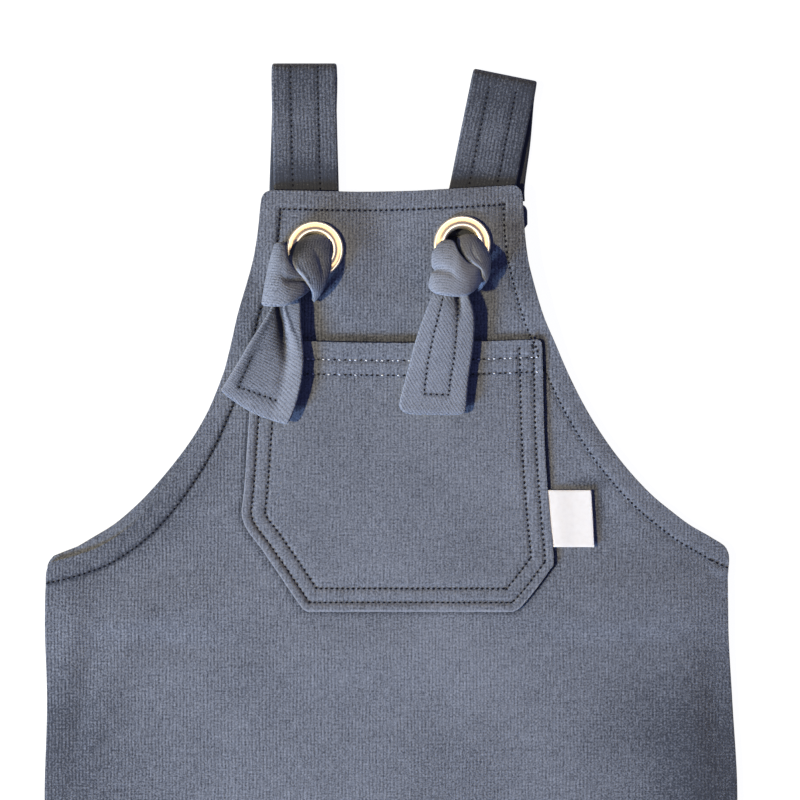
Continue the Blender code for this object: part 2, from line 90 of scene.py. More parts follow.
# %% Camera
PIXEL = 0.44
PHOTO_SIDE = 800
PHOTO_CENTRE = (4.0, 92.4)
LENS = 100.0
SENSOR = 36.0
SCALE_HEIGHT = 3.0
camera_data = bpy.data.cameras.new("camera")
camera_data.lens = LENS
camera_data.sensor_width = SENSOR
camera = bpy.data.objects.new("camera", camera_data)
bpy.context.scene.collection.objects.link(camera)
stand_off = PIXEL * PHOTO_SIDE * LENS / SENSOR
camera_height = stand_off + SCALE_HEIGHT
camera.location = Vector((PHOTO_CENTRE[0], BIB_TOP - PHOTO_CENTRE[1], camera_height)) * MM
bpy.context.scene.camera = camera
print("camera stands off", round(stand_off), "mm")

# %% [markdown]
# ## Outlines as rows
# A maker's pattern is read from the top down: at each drop the cloth runs from a left edge to a right edge.
# A smooth curve through the rows gives the edges of the bib, the armholes and the legs. The two armholes of
# the front differ a little, as they do on the table, and the back's left one shows past the front's.

# %% Outline tables
Row = namedtuple("Row", "drop left right")
LegRow = namedtuple("LegRow", "drop outer_left inner_left inner_right outer_right")

SIDE_ROWS = (
    Row(190.0, -152.2, 148.4),
    Row(224.0, -151.2, 150.2),
    Row(268.0, -152.4, 152.4),
    Row(CROTCH_DROP, -152.4, 152.4),
)
FRONT_ROWS = (
    Row(0.0, -52.4, 53.2),
    Row(0.6, -54.2, 55.0),
    Row(1.8, -55.8, 56.6),
    Row(4.4, -56.9, 57.7),
    Row(17.6, -58.1, 58.5),
    Row(28.6, -59.8, 59.8),
    Row(41.8, -63.4, 62.9),
    Row(55.0, -67.3, 66.9),
    Row(68.2, -70.4, 72.6),
    Row(81.4, -73.9, 78.3),
    Row(94.6, -79.2, 84.9),
    Row(107.8, -85.0, 92.8),
    Row(121.0, -92.4, 102.5),
    Row(134.2, -101.8, 114.8),
    Row(140.8, -107.4, 122.8),
    Row(147.4, -114.2, 131.6),
    Row(152.6, -121.2, 140.6),
    Row(157.4, -129.4, 147.4),
    Row(161.2, -140.0, 148.7),
    Row(164.4, -150.4, 148.8),
    Row(170.0, -151.8, 148.2),
) + SIDE_ROWS
BACK_ROWS = (
    Row(6.0, -52.0, 57.4),
    Row(7.0, -54.4, 59.2),
    Row(9.0, -55.6, 60.1),
    Row(15.0, -56.0, 60.2),
    Row(19.0, -56.2, 57.4),
    Row(41.8, -61.4, 60.9),
    Row(68.2, -69.6, 70.4),
    Row(94.6, -79.4, 82.6),
    Row(107.8, -86.6, 90.4),
    Row(121.0, -96.2, 99.8),
    Row(134.2, -107.6, 112.0),
    Row(140.8, -114.4, 119.8),
    Row(147.4, -122.4, 128.8),
    Row(153.0, -131.6, 138.0),
    Row(157.6, -139.6, 145.0),
    Row(161.0, -148.6, 147.2),
    Row(165.6, -151.4, 147.8),
) + SIDE_ROWS
LEG_ROWS = (
    LegRow(CROTCH_DROP, -152.4, -5.0, 5.0, 152.4),
    LegRow(380.0, -152.0, -8.0, 8.0, 152.0),
    LegRow(430.0, -150.0, -11.5, 11.5, 150.0),
    LegRow(510.0, -146.0, -16.0, 16.0, 146.0),
    LegRow(HEM_DROP, -143.0, -19.0, 19.0, 143.0),
)
POCKET_DROP = 65.6
POCKET_FOOT = 185.4
POCKET_ROWS = (
    Row(POCKET_DROP, -57.6, 64.2),
    Row(66.2, -58.8, 65.6),
    Row(67.6, -59.6, 66.2),
    Row(76.0, -60.6, 66.6),
    Row(105.0, -62.6, 67.3),
    Row(130.7, -64.4, 68.8),
    Row(142.6, -65.5, 69.8),
    Row(146.4, -64.6, 70.1),
    Row(158.4, -56.4, 71.3),
    Row(164.4, -52.3, 71.6),
    Row(167.4, -50.2, 69.6),
    Row(182.4, -40.0, 57.8),
    Row(184.4, -38.4, 55.6),
    Row(POCKET_FOOT, -36.6, 53.4),
)


def column(rows, drops, field):
    """One column of a table at many drops, on a smooth curve that never overshoots its rows."""
    d = np.array([r.drop for r in rows])
    x = np.array([getattr(r, field) for r in rows])
    slopes = np.diff(x) / np.diff(d)
    tangents = np.concatenate([[slopes[0]], np.zeros(len(d) - 2), [slopes[-1]]])
    for i in range(1, len(d) - 1):
        if slopes[i - 1] * slopes[i] > 0:
            tangents[i] = 2 * slopes[i - 1] * slopes[i] / (slopes[i - 1] + slopes[i])
    i = np.clip(np.searchsorted(d, drops, "right") - 1, 0, len(d) - 2)
    h = d[i + 1] - d[i]
    t = np.clip((drops - d[i]) / h, 0, 1)
    return (x[i] * (2 * t ** 3 - 3 * t ** 2 + 1) + x[i + 1] * (3 * t ** 2 - 2 * t ** 3)
            + tangents[i] * h * (t ** 3 - 2 * t ** 2 + t) + tangents[i + 1] * h * (t ** 3 - t ** 2))


print("outlines:", len(FRONT_ROWS), "rows of the front,", len(POCKET_ROWS), "of the pocket")

# %% [markdown]
# ## The height of the front
# The front lies on the back, the bib a little higher because the straps run under it, and higher again
# round the eyelets. Jersey keeps the memory of its folds, so the body has broad, uneven swells and a few
# narrow creases. Each crease is one row of a table: a long soft ridge, or a trough where its height is
# below zero. A physics simulation would give a flat lie that nobody chose, so they are listed one by one.

# %% Creases
Crease = namedtuple("Crease", "x drop length width height angle")
BROAD = (
    Crease(-104.0, 184.0, 58.0, 13.0, 0.9, 4.0),
    Crease(104.0, 180.0, 84.0, 15.0, 1.1, -3.0),
    Crease(-10.0, 205.0, 90.0, 14.0, 0.6, 2.0),
    Crease(-142.0, 205.0, 44.0, 7.0, 0.9, 84.0),
    Crease(-126.0, 222.0, 46.0, 8.0, 0.7, 70.0),
    Crease(134.0, 250.0, 70.0, 12.0, 1.0, 96.0),
    Crease(96.0, 120.0, 40.0, 9.0, 0.8, -62.0),
    Crease(-66.0, 330.0, 60.0, 11.0, 1.3, 40.0),
    Crease(58.0, 322.0, 66.0, 12.0, 1.5, -36.0),
    Crease(-78.0, 440.0, 52.0, 10.0, 1.1, 8.0),
    Crease(84.0, 470.0, 48.0, 11.0, 1.2, -12.0),
    Crease(-96.0, 530.0, 40.0, 9.0, 0.8, -6.0),
)
FINE = (
    Crease(-118.0, 190.0, 26.0, 4.0, 0.35, 9.0),
    Crease(-92.0, 200.0, 30.0, 5.0, -0.4, -4.0),
    Crease(88.0, 190.0, 44.0, 5.0, 0.45, -6.0),
    Crease(118.0, 198.0, 30.0, 6.0, -0.4, 2.0),
    Crease(-60.0, 232.0, 22.0, 5.0, 0.3, 62.0),
    Crease(-137.0, 236.0, 34.0, 4.0, -0.4, 82.0),
    Crease(36.0, 236.0, 30.0, 7.0, 0.3, 80.0),
    Crease(142.0, 226.0, 30.0, 5.0, -0.45, 92.0),
    Crease(-84.0, 128.0, 20.0, 4.0, 0.3, 58.0),
    Crease(92.0, 106.0, 18.0, 4.0, -0.3, -58.0),
    Crease(-22.0, 44.0, 16.0, 5.0, 0.35, -24.0),
    Crease(6.0, 18.0, 22.0, 6.0, -0.3, 6.0),
    Crease(6.0, 300.0, 40.0, 6.0, 0.5, 84.0),
    Crease(-40.0, 352.0, 30.0, 5.0, -0.5, 24.0),
    Crease(34.0, 350.0, 34.0, 5.0, 0.5, -22.0),
    Crease(-100.0, 402.0, 36.0, 6.0, 0.5, 22.0),
    Crease(104.0, 420.0, 40.0, 6.0, -0.5, -16.0),
    Crease(64.0, 540.0, 30.0, 6.0, 0.5, 10.0),
)


def ease(t):
    t = np.clip(t, 0.0, 1.0)
    return t * t * (3.0 - 2.0 * t)


def fade(distance, start, run):
    """1 as far as start, and softly down to 0 over the next run millimetres."""
    return 1.0 - ease((distance - start) / run)


def bell(distance, width):
    """1 at no distance, and softly down to 0 on both sides."""
    return np.exp(-(distance / width) ** 2)


def crease_height(x, drop, creases):
    total = np.zeros_like(np.asarray(x, dtype=float))
    for c in creases:
        a = math.radians(c.angle)
        along = (x - c.x) * math.cos(a) - (drop - c.drop) * math.sin(a)
        across = (x - c.x) * math.sin(a) + (drop - c.drop) * math.cos(a)
        total += c.height * np.exp(-2.0 * (along / c.length) ** 2 - (across / c.width) ** 2)
    return total


def front_under(x, drop):
    """Height of the front's lower face in the frame."""
    seat = np.zeros_like(np.asarray(x, dtype=float))
    for ex, edrop in EYELET_CENTRES:
        seat = np.maximum(seat, fade(np.hypot(x - ex, drop - edrop), *SEAT_FADE))
    lift = BIB_LIFT * fade(drop, *LIFT_FADE) + SEAT_LIFT * seat
    return CLOTH + GAP + lift + crease_height(x, drop, BROAD)


def front_top(x, drop):
    return front_under(x, drop) + CLOTH


BIB_HALF = 55.0
BIB_EDGE_RUN = 26.0


def bib_edge_dip(x, drop):
    """The bib's top edge dips in the middle and rises to its right corner."""
    across = x / BIB_HALF
    return (0.9 - 1.1 * across - 1.8 * across ** 2) * fade(drop, 0.0, BIB_EDGE_RUN)


for place, drop in (("on the body", 230.0), ("at the bib's top", 2.0)):
    print("the front lies at", round(float(front_top(0.0, drop)), 2), "mm", place)

# %% [markdown]
# ## Lines of sewing
# A seam is a line on the cloth: the same line presses a groove into the sheet, puckers it at every needle
# hole and carries the thread. So each row of stitches is worked out once, by moving an edge of the pattern
# inwards, and is used for the form and for the thread. Moving a bent edge inwards makes small loops at its
# corners. They are dropped by keeping only the points that are really that far from the edge.

# %% Lines on the cloth
STITCH = 2.35
LINE_STEP = 0.5
FAR_AWAY = 99.0
NEARBY = 16.0
BATCH = 3000
LOOP_SLACK = 0.3


def edge_line(rows, field, first, last):
    """An edge of a pattern from one drop to another, as points (x, drop) a millimetre apart."""
    drops = np.linspace(first, last, int(last - first) + 1)
    return np.column_stack([column(rows, drops, field), drops])


def resample(line, step):
    reach = np.concatenate([[0.0], np.cumsum(np.hypot(*np.diff(line, axis=0).T))])
    at = np.linspace(0.0, reach[-1], max(2, int(round(reach[-1] / step)) + 1))
    return np.column_stack([np.interp(at, reach, line[:, k]) for k in (0, 1)])


def measure_to(points, line):
    """How far each point lies from a line, and how far along the line its nearest place is."""
    dense = resample(line, LINE_STEP)
    far = np.full(len(points), FAR_AWAY)
    along = np.zeros(len(points))
    low = dense.min(axis=0) - NEARBY
    high = dense.max(axis=0) + NEARBY
    near = np.flatnonzero(((points > low) & (points < high)).all(axis=1))
    for part in np.array_split(near, max(1, len(near) // BATCH)):
        gap = np.hypot(points[part, 0:1] - dense[None, :, 0], points[part, 1:2] - dense[None, :, 1])
        k = gap.argmin(axis=1)
        far[part] = gap[np.arange(len(part)), k]
        along[part] = k * LINE_STEP
    return far, along


def moved_in(line, distance):
    """A line moved to its left, seen along its own direction with the drop growing downwards."""
    dense = resample(line, LINE_STEP)
    run = np.gradient(dense, axis=0)
    run /= np.hypot(run[:, 0], run[:, 1])[:, None]
    moved = dense + np.column_stack([run[:, 1], -run[:, 0]]) * distance
    return moved[measure_to(moved, line)[0] > distance - LOOP_SLACK]


HEM = 8.8
BIB_HEM = 8.3
BIB_ROW_ENDS = (-47.7, 50.3)
LEFT_ROW_START = 8.6
RIGHT_ROW_START = 6.6
# The armholes' rows run out at the garment's sides.
LEFT_ROW_END = ((-148.0, 172.3), (-151.0, 173.0))
RIGHT_ROW_END = ((147.6, 166.0), (144.0, 164.4))
bib_x = np.linspace(-52.0, 52.8, 60)
hem_top = resample(np.column_stack([bib_x, bib_edge_dip(bib_x, 0.0)]), 1.0)
hem_left = edge_line(FRONT_ROWS, "left", 1.8, 165.0)
hem_right = edge_line(FRONT_ROWS, "right", 1.8, 161.0)
bib_row = hem_top + np.array([0.0, BIB_HEM])
left_row = moved_in(hem_left, HEM)
right_row = moved_in(hem_right[::-1], HEM)
front_rows = [
    bib_row[(bib_row[:, 0] > BIB_ROW_ENDS[0]) & (bib_row[:, 0] < BIB_ROW_ENDS[1])],
    np.concatenate([left_row[left_row[:, 1] > LEFT_ROW_START], LEFT_ROW_END]),
    np.concatenate([RIGHT_ROW_END, right_row[right_row[:, 1] > RIGHT_ROW_START]]),
]

POCKET_INSETS = (4.0, 10.1)
MOUTH_INSETS = (7.9, 14.4)
POCKET_TOP_SAG = 1.6
pocket_left = edge_line(POCKET_ROWS, "left", 66.0, POCKET_FOOT)
pocket_right = edge_line(POCKET_ROWS, "right", 66.0, POCKET_FOOT)
pocket_side = np.concatenate([pocket_left, pocket_right[::-1]])


def pocket_across(x):
    """0 at the pocket's sides and 1 in its middle."""
    return np.sin(np.pi * np.clip((x + 60.0) / 126.0, 0.0, 1.0))


def pocket_sag(x, drop):
    return POCKET_TOP_SAG * pocket_across(x) * fade(drop, POCKET_DROP, 20.0)


mouth_x = np.linspace(-57.6, 64.2, 60)
pocket_top = np.column_stack([mouth_x, POCKET_DROP + pocket_sag(mouth_x, POCKET_DROP)])
pocket_rows = [moved_in(pocket_side, inset) for inset in POCKET_INSETS]
mouth_rows = [pocket_top + np.array([0.0, inset]) for inset in MOUTH_INSETS]
print("sewing lines:", [len(r) for r in front_rows + pocket_rows + mouth_rows])

# %% [markdown]
# ## A recipe for materials
# Every finish here is a node tree. A small class keeps the trees readable: each call adds one node and
# returns its socket, so that a formula in the shader reads like one in Python.

# %% Recipe
class Recipe:
    def __init__(self, name):
        self.material = bpy.data.materials.new(name)
        self.material.use_nodes = True
        self.nodes = self.material.node_tree.nodes
        self.links = self.material.node_tree.links
        self.shader = self.nodes["Principled BSDF"]

    def put(self, socket, value):
        if isinstance(value, bpy.types.NodeSocket):
            self.links.new(value, socket)
        else:
            socket.default_value = value

    def surface(self, **values):
        for name, value in values.items():
            self.put(self.shader.inputs[name.replace("_", " ").title().replace("Ior", "IOR")], value)

    def math(self, operation, *values, clamp=False):
        node = self.nodes.new("ShaderNodeMath")
        node.operation = operation
        node.use_clamp = clamp
        for socket, value in zip(node.inputs, values):
            self.put(socket, value)
        return node.outputs[0]

    def on_cloth(self):
        node = self.nodes.new("ShaderNodeUVMap")
        node.uv_map = "cloth"
        return node.outputs[0]

    def attribute(self, name):
        node = self.nodes.new("ShaderNodeAttribute")
        node.attribute_name = name
        return node.outputs["Fac"]

    def on_object(self):
        return self.nodes.new("ShaderNodeTexCoord").outputs["Object"]

    def split(self, vector):
        node = self.nodes.new("ShaderNodeSeparateXYZ")
        self.put(node.inputs[0], vector)
        return node.outputs[:3]

    def vector(self, x, y, z=0.0):
        node = self.nodes.new("ShaderNodeCombineXYZ")
        for socket, value in zip(node.inputs, (x, y, z)):
            self.put(socket, value)
        return node.outputs[0]

    def noise(self, vector, scale, detail=2.0, roughness=0.5):
        node = self.nodes.new("ShaderNodeTexNoise")
        self.put(node.inputs["Vector"], vector)
        node.inputs["Scale"].default_value = scale
        node.inputs["Detail"].default_value = detail
        node.inputs["Roughness"].default_value = roughness
        return node.outputs["Fac"]

    def mix(self, factor, first, second):
        node = self.nodes.new("ShaderNodeMix")
        node.data_type = "RGBA"
        self.put(node.inputs["Factor"], factor)
        for name, value in (("A", first), ("B", second)):
            socket = [s for s in node.inputs if s.name == name and s.type == "RGBA"][0]
            self.put(socket, value if isinstance(value, bpy.types.NodeSocket) else (*value, 1.0))
        return [s for s in node.outputs if s.type == "RGBA"][0]

    def bump(self, height, strength=1.0, distance=MM):
        node = self.nodes.new("ShaderNodeBump")
        node.inputs["Strength"].default_value = strength
        node.inputs["Distance"].default_value = distance
        self.put(node.inputs["Height"], height)
        self.put(self.shader.inputs["Normal"], node.outputs[0])


print("recipe ready")

# %% [markdown]
# ## Sweat jersey
# The cloth is a slate melange: pale and navy fibres spun together, knitted in fine ribs that run down the
# garment every 1.5 mm, with a slight nap. It could be painted as flat grey with a bump, but then it reads
# as paper. Here the ribs, the loops along each rib, the uneven yarn and the loose fibres are separate waves
# and noises on the cloth's own map, which is laid out in millimetres, and they drive both the colour and
# the relief.

# %% Jersey
DEEP_SLATE = (0.030, 0.034, 0.047)
PALE_SLATE = (0.178, 0.196, 0.246)
LINT = (0.50, 0.52, 0.56)


def jersey(name, pitch, rib_depth, deep=DEEP_SLATE, pale=PALE_SLATE, shade=0.0, even=1.0, courses=0.45):
    """even is 0 where the ribs fade towards the garment's right side and stand out on the bib."""
    r = Recipe(name)
    cloth = r.on_cloth()
    u, v, _ = r.split(cloth)
    stand = r.math("MULTIPLY_ADD", u, -0.0035 * (1.0 - even), 1.0)
    stand = r.math("MULTIPLY_ADD", r.math("ADD", v, 150.0), 0.0024 * (1.0 - even), stand)
    wander = r.math("MULTIPLY", r.math("SUBTRACT", r.noise(cloth, 0.045, 1.0), 0.5), 1.6)
    across = r.math("DIVIDE", r.math("ADD", u, wander), pitch)
    side = r.math("ABSOLUTE", r.math("SUBTRACT", r.math("MULTIPLY", r.math("FRACT", across), 2.0), 1.0))
    crest = r.math("SUBTRACT", 1.0, r.math("POWER", side, 2.0))
    course = r.math("ADD", r.math("DIVIDE", v, 1.3), r.math("MULTIPLY", side, 0.5))
    loop = r.math("SINE", r.math("MULTIPLY", course, 2.0 * math.pi))
    streak = r.noise(r.vector(r.math("MULTIPLY", u, 1.1), r.math("MULTIPLY", v, 0.16)), 1.0, 3.0, 0.6)
    course_streak = r.noise(r.vector(r.math("MULTIPLY", u, 0.12), r.math("MULTIPLY", v, 0.9)), 1.0, 2.0)
    fibre = r.noise(cloth, 1.15, 4.0, 0.7)
    cloud = r.noise(cloth, 0.02, 3.0, 0.5)

    rib = r.math("MULTIPLY", r.math("SUBTRACT", crest, 0.66), rib_depth)
    tone = r.math("ADD", r.math("MULTIPLY", rib, stand), 0.5 + shade)
    # Painted shade and highlights from the mesh's attribute darken or lighten the tone.
    tone = r.math("ADD", tone, r.attribute("painted_light"))
    for texture, share in ((fibre, 2.6), (streak, 0.8), (course_streak, courses), (cloud, 0.45)):
        tone = r.math("ADD", tone, r.math("MULTIPLY", r.math("SUBTRACT", texture, 0.5), share))
    tone = r.math("MULTIPLY_ADD", loop, 0.03, tone, clamp=True)
    colour = r.mix(tone, deep, pale)
    speck = r.math("GREATER_THAN", r.noise(cloth, 0.55, 1.0), 0.87)
    colour = r.mix(r.math("MULTIPLY", speck, 0.7), colour, LINT)

    height = r.math("MULTIPLY", crest, 0.5 * rib_depth)
    height = r.math("MULTIPLY_ADD", loop, 0.02, height)
    height = r.math("MULTIPLY_ADD", fibre, 0.34, height)
    height = r.math("MULTIPLY_ADD", streak, 0.16, height)
    r.bump(height, strength=0.5)
    r.surface(base_color=colour, roughness=0.94, sheen_weight=0.12, sheen_roughness=0.5,
              specular_ior_level=0.12)
    return r.material


body_jersey = jersey("slate jersey, body", 1.52, 0.25, even=0.0)
inside_jersey = jersey("slate jersey, inside", 1.52, 0.16, shade=-0.12)
pocket_jersey = jersey("slate jersey, pocket", 1.58, 0.19, shade=0.05)
# The straps' copy is painted paler, a highlight for the knots and tails that stand up into the light; their
# flat runs are painted darker again by their bands.
strap_jersey = jersey("slate jersey, straps", 1.60, 0.29, shade=0.14, courses=0.2)
print("jersey:", [m.name for m in (body_jersey, inside_jersey, pocket_jersey, strap_jersey)])

# %% [markdown]
# ## Tape, thread and plated metal
# The label is a smooth woven tape in off-white: two crossing sine waves give its fine weave. The sewing
# thread is dark navy; on the pocket's two upper rows a share of its stitches is painted pale, as highlights
# where the thread catches the light. The eyelets are stamped and plated with a warm nickel. Plating is a
# mirror with very small waves, so it gets a low roughness and a weak noise bump. Its channel is painted a
# warmer orange-tan, a painted reflection.

# %% Other finishes
NICKEL_TONE = (0.82, 0.72, 0.56)


def woven_tape():
    r = Recipe("white woven tape")
    cloth = r.on_cloth()
    u, v, _ = r.split(cloth)
    warp = r.math("SINE", r.math("MULTIPLY", u, 2.0 * math.pi / 0.42))
    weft = r.math("SINE", r.math("MULTIPLY", v, 2.0 * math.pi / 0.36))
    weave = r.math("MULTIPLY", warp, weft)
    tone = r.math("ADD", r.math("MULTIPLY_ADD", weave, 0.10, 0.45), r.noise(cloth, 0.5, 3.0))
    r.bump(weave, strength=0.4, distance=0.05 * MM)
    r.surface(base_color=r.mix(tone, (0.52, 0.495, 0.488), (0.62, 0.605, 0.605)), roughness=0.72,
              sheen_weight=0.1, specular_ior_level=0.25)
    return r.material


def thread(name, dull, bright):
    r = Recipe(name)
    place = r.on_object()
    twist = r.noise(place, 1400.0, 2.0)
    r.bump(twist, strength=0.5, distance=0.1 * MM)
    r.surface(base_color=r.mix(twist, dull, bright), roughness=0.85, specular_ior_level=0.15)
    return r.material


def nickel(name, tone, roughness, channel):
    """channel is the colour of a painted warm reflection, put where the attribute painted_light marks it."""
    r = Recipe(name)
    place = r.on_object()
    wave = r.noise(place, 260.0, 2.0)
    scuff = r.noise(place, 1500.0, 3.0)
    r.bump(r.math("ADD", wave, r.math("MULTIPLY", scuff, 0.15)), strength=0.25, distance=0.12 * MM)
    plate = r.mix(wave, tone, [0.9 * c for c in tone])
    r.surface(base_color=r.mix(r.attribute("painted_light"), plate, channel), metallic=0.82,
              roughness=r.math("MULTIPLY_ADD", scuff, 0.12, roughness))
    return r.material


label_tape = woven_tape()
dark_thread = thread("navy thread", (0.003, 0.004, 0.008), (0.010, 0.012, 0.022))
highlight_thread = thread("grey thread, painted highlights", (0.30, 0.32, 0.38), (0.66, 0.68, 0.74))
ring_metal = nickel("warm nickel plate", NICKEL_TONE, 0.25, (0.66, 0.40, 0.19))
washer_metal = nickel("nickel plate, back", (0.80, 0.76, 0.70), 0.26, (0.5, 0.42, 0.33))
print("finishes:", [m.name for m in (label_tape, dark_thread, highlight_thread, ring_metal, washer_metal)])

# %% [markdown]
# ## Cloth as a grid
# A cut piece of cloth is made from one flat grid with create_grid. Every vertex knows its column and row,
# so the pattern's tables can say where it goes: that gives an even knit from edge to edge, which a filled
# outline would not. Solidify then gives the wall and Bevel rounds its cut edges. The map "cloth" is laid in
# millimetres.

# %% Cloth helpers
def flat_grid(columns, rows):
    """A new grid, with the column and the row of each vertex. Row 0 is the upper edge."""
    bm = bmesh.new()
    bmesh.ops.create_grid(bm, x_segments=columns, y_segments=rows, size=0.5)
    place = np.array([v.co[:2] for v in bm.verts])
    span = place.max(axis=0) - place.min(axis=0)
    share = (place - place.min(axis=0)) / span
    return bm, np.rint(share[:, 0] * columns).astype(int), np.rint((1.0 - share[:, 1]) * rows).astype(int)


def lay(bm, x, drop, z, u, v, painted_light=None):
    """Moves the vertices to their places on the garment, writes the cloth's map in millimetres, and gives
    each vertex its painted shade and light.
    """
    layer = bm.loops.layers.uv.new("cloth")
    tone = bm.verts.layers.float.new("painted_light")
    bm.verts.index_update()
    painted_light = np.zeros(len(bm.verts)) if painted_light is None else painted_light
    for vert, place, shade in zip(bm.verts, np.column_stack([x, BIB_TOP - drop, z]) * MM, painted_light):
        vert.co = place
        vert[tone] = shade
    for face in bm.faces:
        for loop in face.loops:
            k = loop.vert.index
            loop[layer].uv = (u[k], v[k])


def piece(name, bm, material, slot, *nodes):
    """Turns a finished bmesh into an object that rides on the garment's one body."""
    mesh = bpy.data.meshes.new(name)
    bm.to_mesh(mesh)
    bm.free()
    mesh.shade_smooth()
    obj = bpy.data.objects.new(name, mesh)
    bpy.context.scene.collection.objects.link(obj)
    mesh.materials.append(material)
    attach(obj, "root")
    if nodes:
        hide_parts(*nodes)
    return obj


def give_wall(obj, thickness, edge, offset=1.0):
    wall = obj.modifiers.new("wall", "SOLIDIFY")
    wall.thickness = thickness * MM
    wall.offset = offset
    rim = obj.modifiers.new("rim", "BEVEL")
    rim.width = edge * MM
    rim.segments = 2
    rim.limit_method = "ANGLE"
    rim.angle_limit = math.radians(60)
    return obj


def denser_at_edges(count, pull):
    t = np.linspace(0.0, 1.0, count + 1)
    return t - pull * np.sin(2.0 * np.pi * t) / (2.0 * np.pi)


print("cloth helpers ready")

# %% [markdown]
# ## The front and the back
# One cut each: bib, armholes and both legs. The edges of the bib and armholes are turned under 9 mm and
# stitched once, so the cloth is double there, swells a little, and dips and puckers along the thread. The
# legs part below the crotch, where the faces between them are left out. Their lower part is not in the
# photograph, so it is plain: straight legs with a turned and stitched hem.

# %% Relief of sewing
HEM_STEP = (8.2, 1.6)
LEG_HEM = HEM_DROP - 20.0
LEG_HEM_STEP = 1.5
LEG_HEM_ENDS = ((-143.5, -18.6), (18.6, 143.5))
GROOVE = 0.42
GROOVE_WIDTH = 1.1
PUCKER = 0.09
PUCKER_WIDTH = 2.8
leg_hem_rows = [np.array([(x, LEG_HEM) for x in ends]) for ends in LEG_HEM_ENDS]
front_hem_lines = (hem_top, hem_left, hem_right)


def sewn(points, rows, depth):
    """How a line of stitches presses into the cloth, deepest at each needle hole."""
    total = np.zeros(len(points))
    for row in rows:
        far, along = measure_to(points, row)
        pucker = np.cos(2.0 * np.pi * along / STITCH)
        total -= depth * bell(far, GROOVE_WIDTH) * (0.8 + 0.2 * pucker)
        total += PUCKER * pucker * bell(far, PUCKER_WIDTH)
    return total


def groove_shade(points, rows, depth, width=0.85):
    """Painted shade along a line of stitches: its groove and needle holes drawn darker in the cloth's tone.
    """
    total = np.zeros(len(points))
    for row in rows:
        far, along = measure_to(points, row)
        hole = 0.65 - 0.35 * np.cos(2.0 * np.pi * along / STITCH)
        total -= depth * hole * bell(far, width)
    return total


def drawn(points, line, strength, width):
    """A soft line of tone along a line on the cloth."""
    return strength * bell(measure_to(points, line)[0], width)


def hems(points, lines, rise, leg_rise):
    """Turned under, the cloth is double at its edges and lies higher there."""
    gap = np.minimum.reduce([measure_to(points, line)[0] for line in lines])
    return rise * fade(gap, *HEM_STEP) + leg_rise * ease((points[:, 1] - LEG_HEM) / LEG_HEM_STEP + 1.0)


# The depth or strength of painted shade or highlight along lines on the cloth, and its width: shade along
# the sewing and the left armhole's row, a painted shadow along the pocket's edge and under its mouth, and a
# painted highlight on the pocket's rim.
SEAM_SHADE = 0.34
LEFT_SEAM_SHADE = (0.5, 1.3)
POCKET_EDGE_SHADOW = (0.55, 1.5)
MOUTH_SHADE = (0.26, 3.6)
RIM_HIGHLIGHT = (0.7, 0.55)
RIM_HIGHLIGHT_END = 66.0
RIM_HIGHLIGHT_LEAN = 0.1
# Soft patches of painted shade and light, as rows of the creases' table whose height is the change of tone:
# darker towards the sides, where the lamps' light falls off, beside the knots and below the left armhole, a
# painted second shadow right of and above the label, and paler in the middle of the body.
SHADE_PATCHES = (
    Crease(-148.0, 262.0, 54.0, 62.0, -0.34, 0.0),
    Crease(142.0, 264.0, 52.0, 66.0, -0.44, 0.0),
    Crease(-118.0, 152.0, 60.0, 16.0, -0.28, 35.0),
    Crease(60.0, 34.0, 14.0, 16.0, -0.24, 0.0),
    Crease(13.0, 33.0, 15.0, 18.0, -0.20, 0.0),
    Crease(-62.0, 60.0, 16.0, 26.0, -0.18, 0.0),
    Crease(28.0, 206.0, 80.0, 28.0, 0.08, 0.0),
    Crease(92.0, 139.0, 3.8, 11.0, -0.34, 0.0),
    Crease(86.5, 128.8, 11.0, 2.6, -0.34, 0.0),
)


def front_tone(x, drop):
    """How the front's tone changes, all of it painted shade and light: soft patches, dark lines along the
    sewing, and a painted shadow round the pocket's edge and under its mouth.
    """
    points = np.column_stack([x, drop])
    tone = crease_height(x, drop, SHADE_PATCHES) + groove_shade(points, front_rows, SEAM_SHADE)
    tone += groove_shade(points, front_rows[1:2], *LEFT_SEAM_SHADE)
    return tone - drawn(points, pocket_side, *POCKET_EDGE_SHADOW) - drawn(points, pocket_top, *MOUTH_SHADE)


def pocket_tone(x, drop):
    """The pocket's tone: painted shade along its sewing, and a painted highlight on its rim on the left and
    below, where the light falls.
    """
    points = np.column_stack([x, drop])
    lit_rim = x < RIM_HIGHLIGHT_END - RIM_HIGHLIGHT_LEAN * (POCKET_FOOT - drop)
    return groove_shade(points, pocket_rows + mouth_rows, SEAM_SHADE) + lit_rim * drawn(points, pocket_side, *RIM_HIGHLIGHT)


def front_form(x, drop):
    """Lower face of the front with its hems, sewing and small creases."""
    points = np.column_stack([x, drop])
    return (front_under(x, drop) + crease_height(x, drop, FINE) + hems(points, front_hem_lines, 0.45, 0.4)
            + sewn(points, front_rows + leg_hem_rows, GROOVE))


print("hem rows:", len(front_rows) + len(leg_hem_rows))

# %% Body panels
CUT_EDGE = 0.45
HOLE_RADIUS = 7.9
SPLIT_BLEND = 70.0
CROTCH_ARCH = 3.0


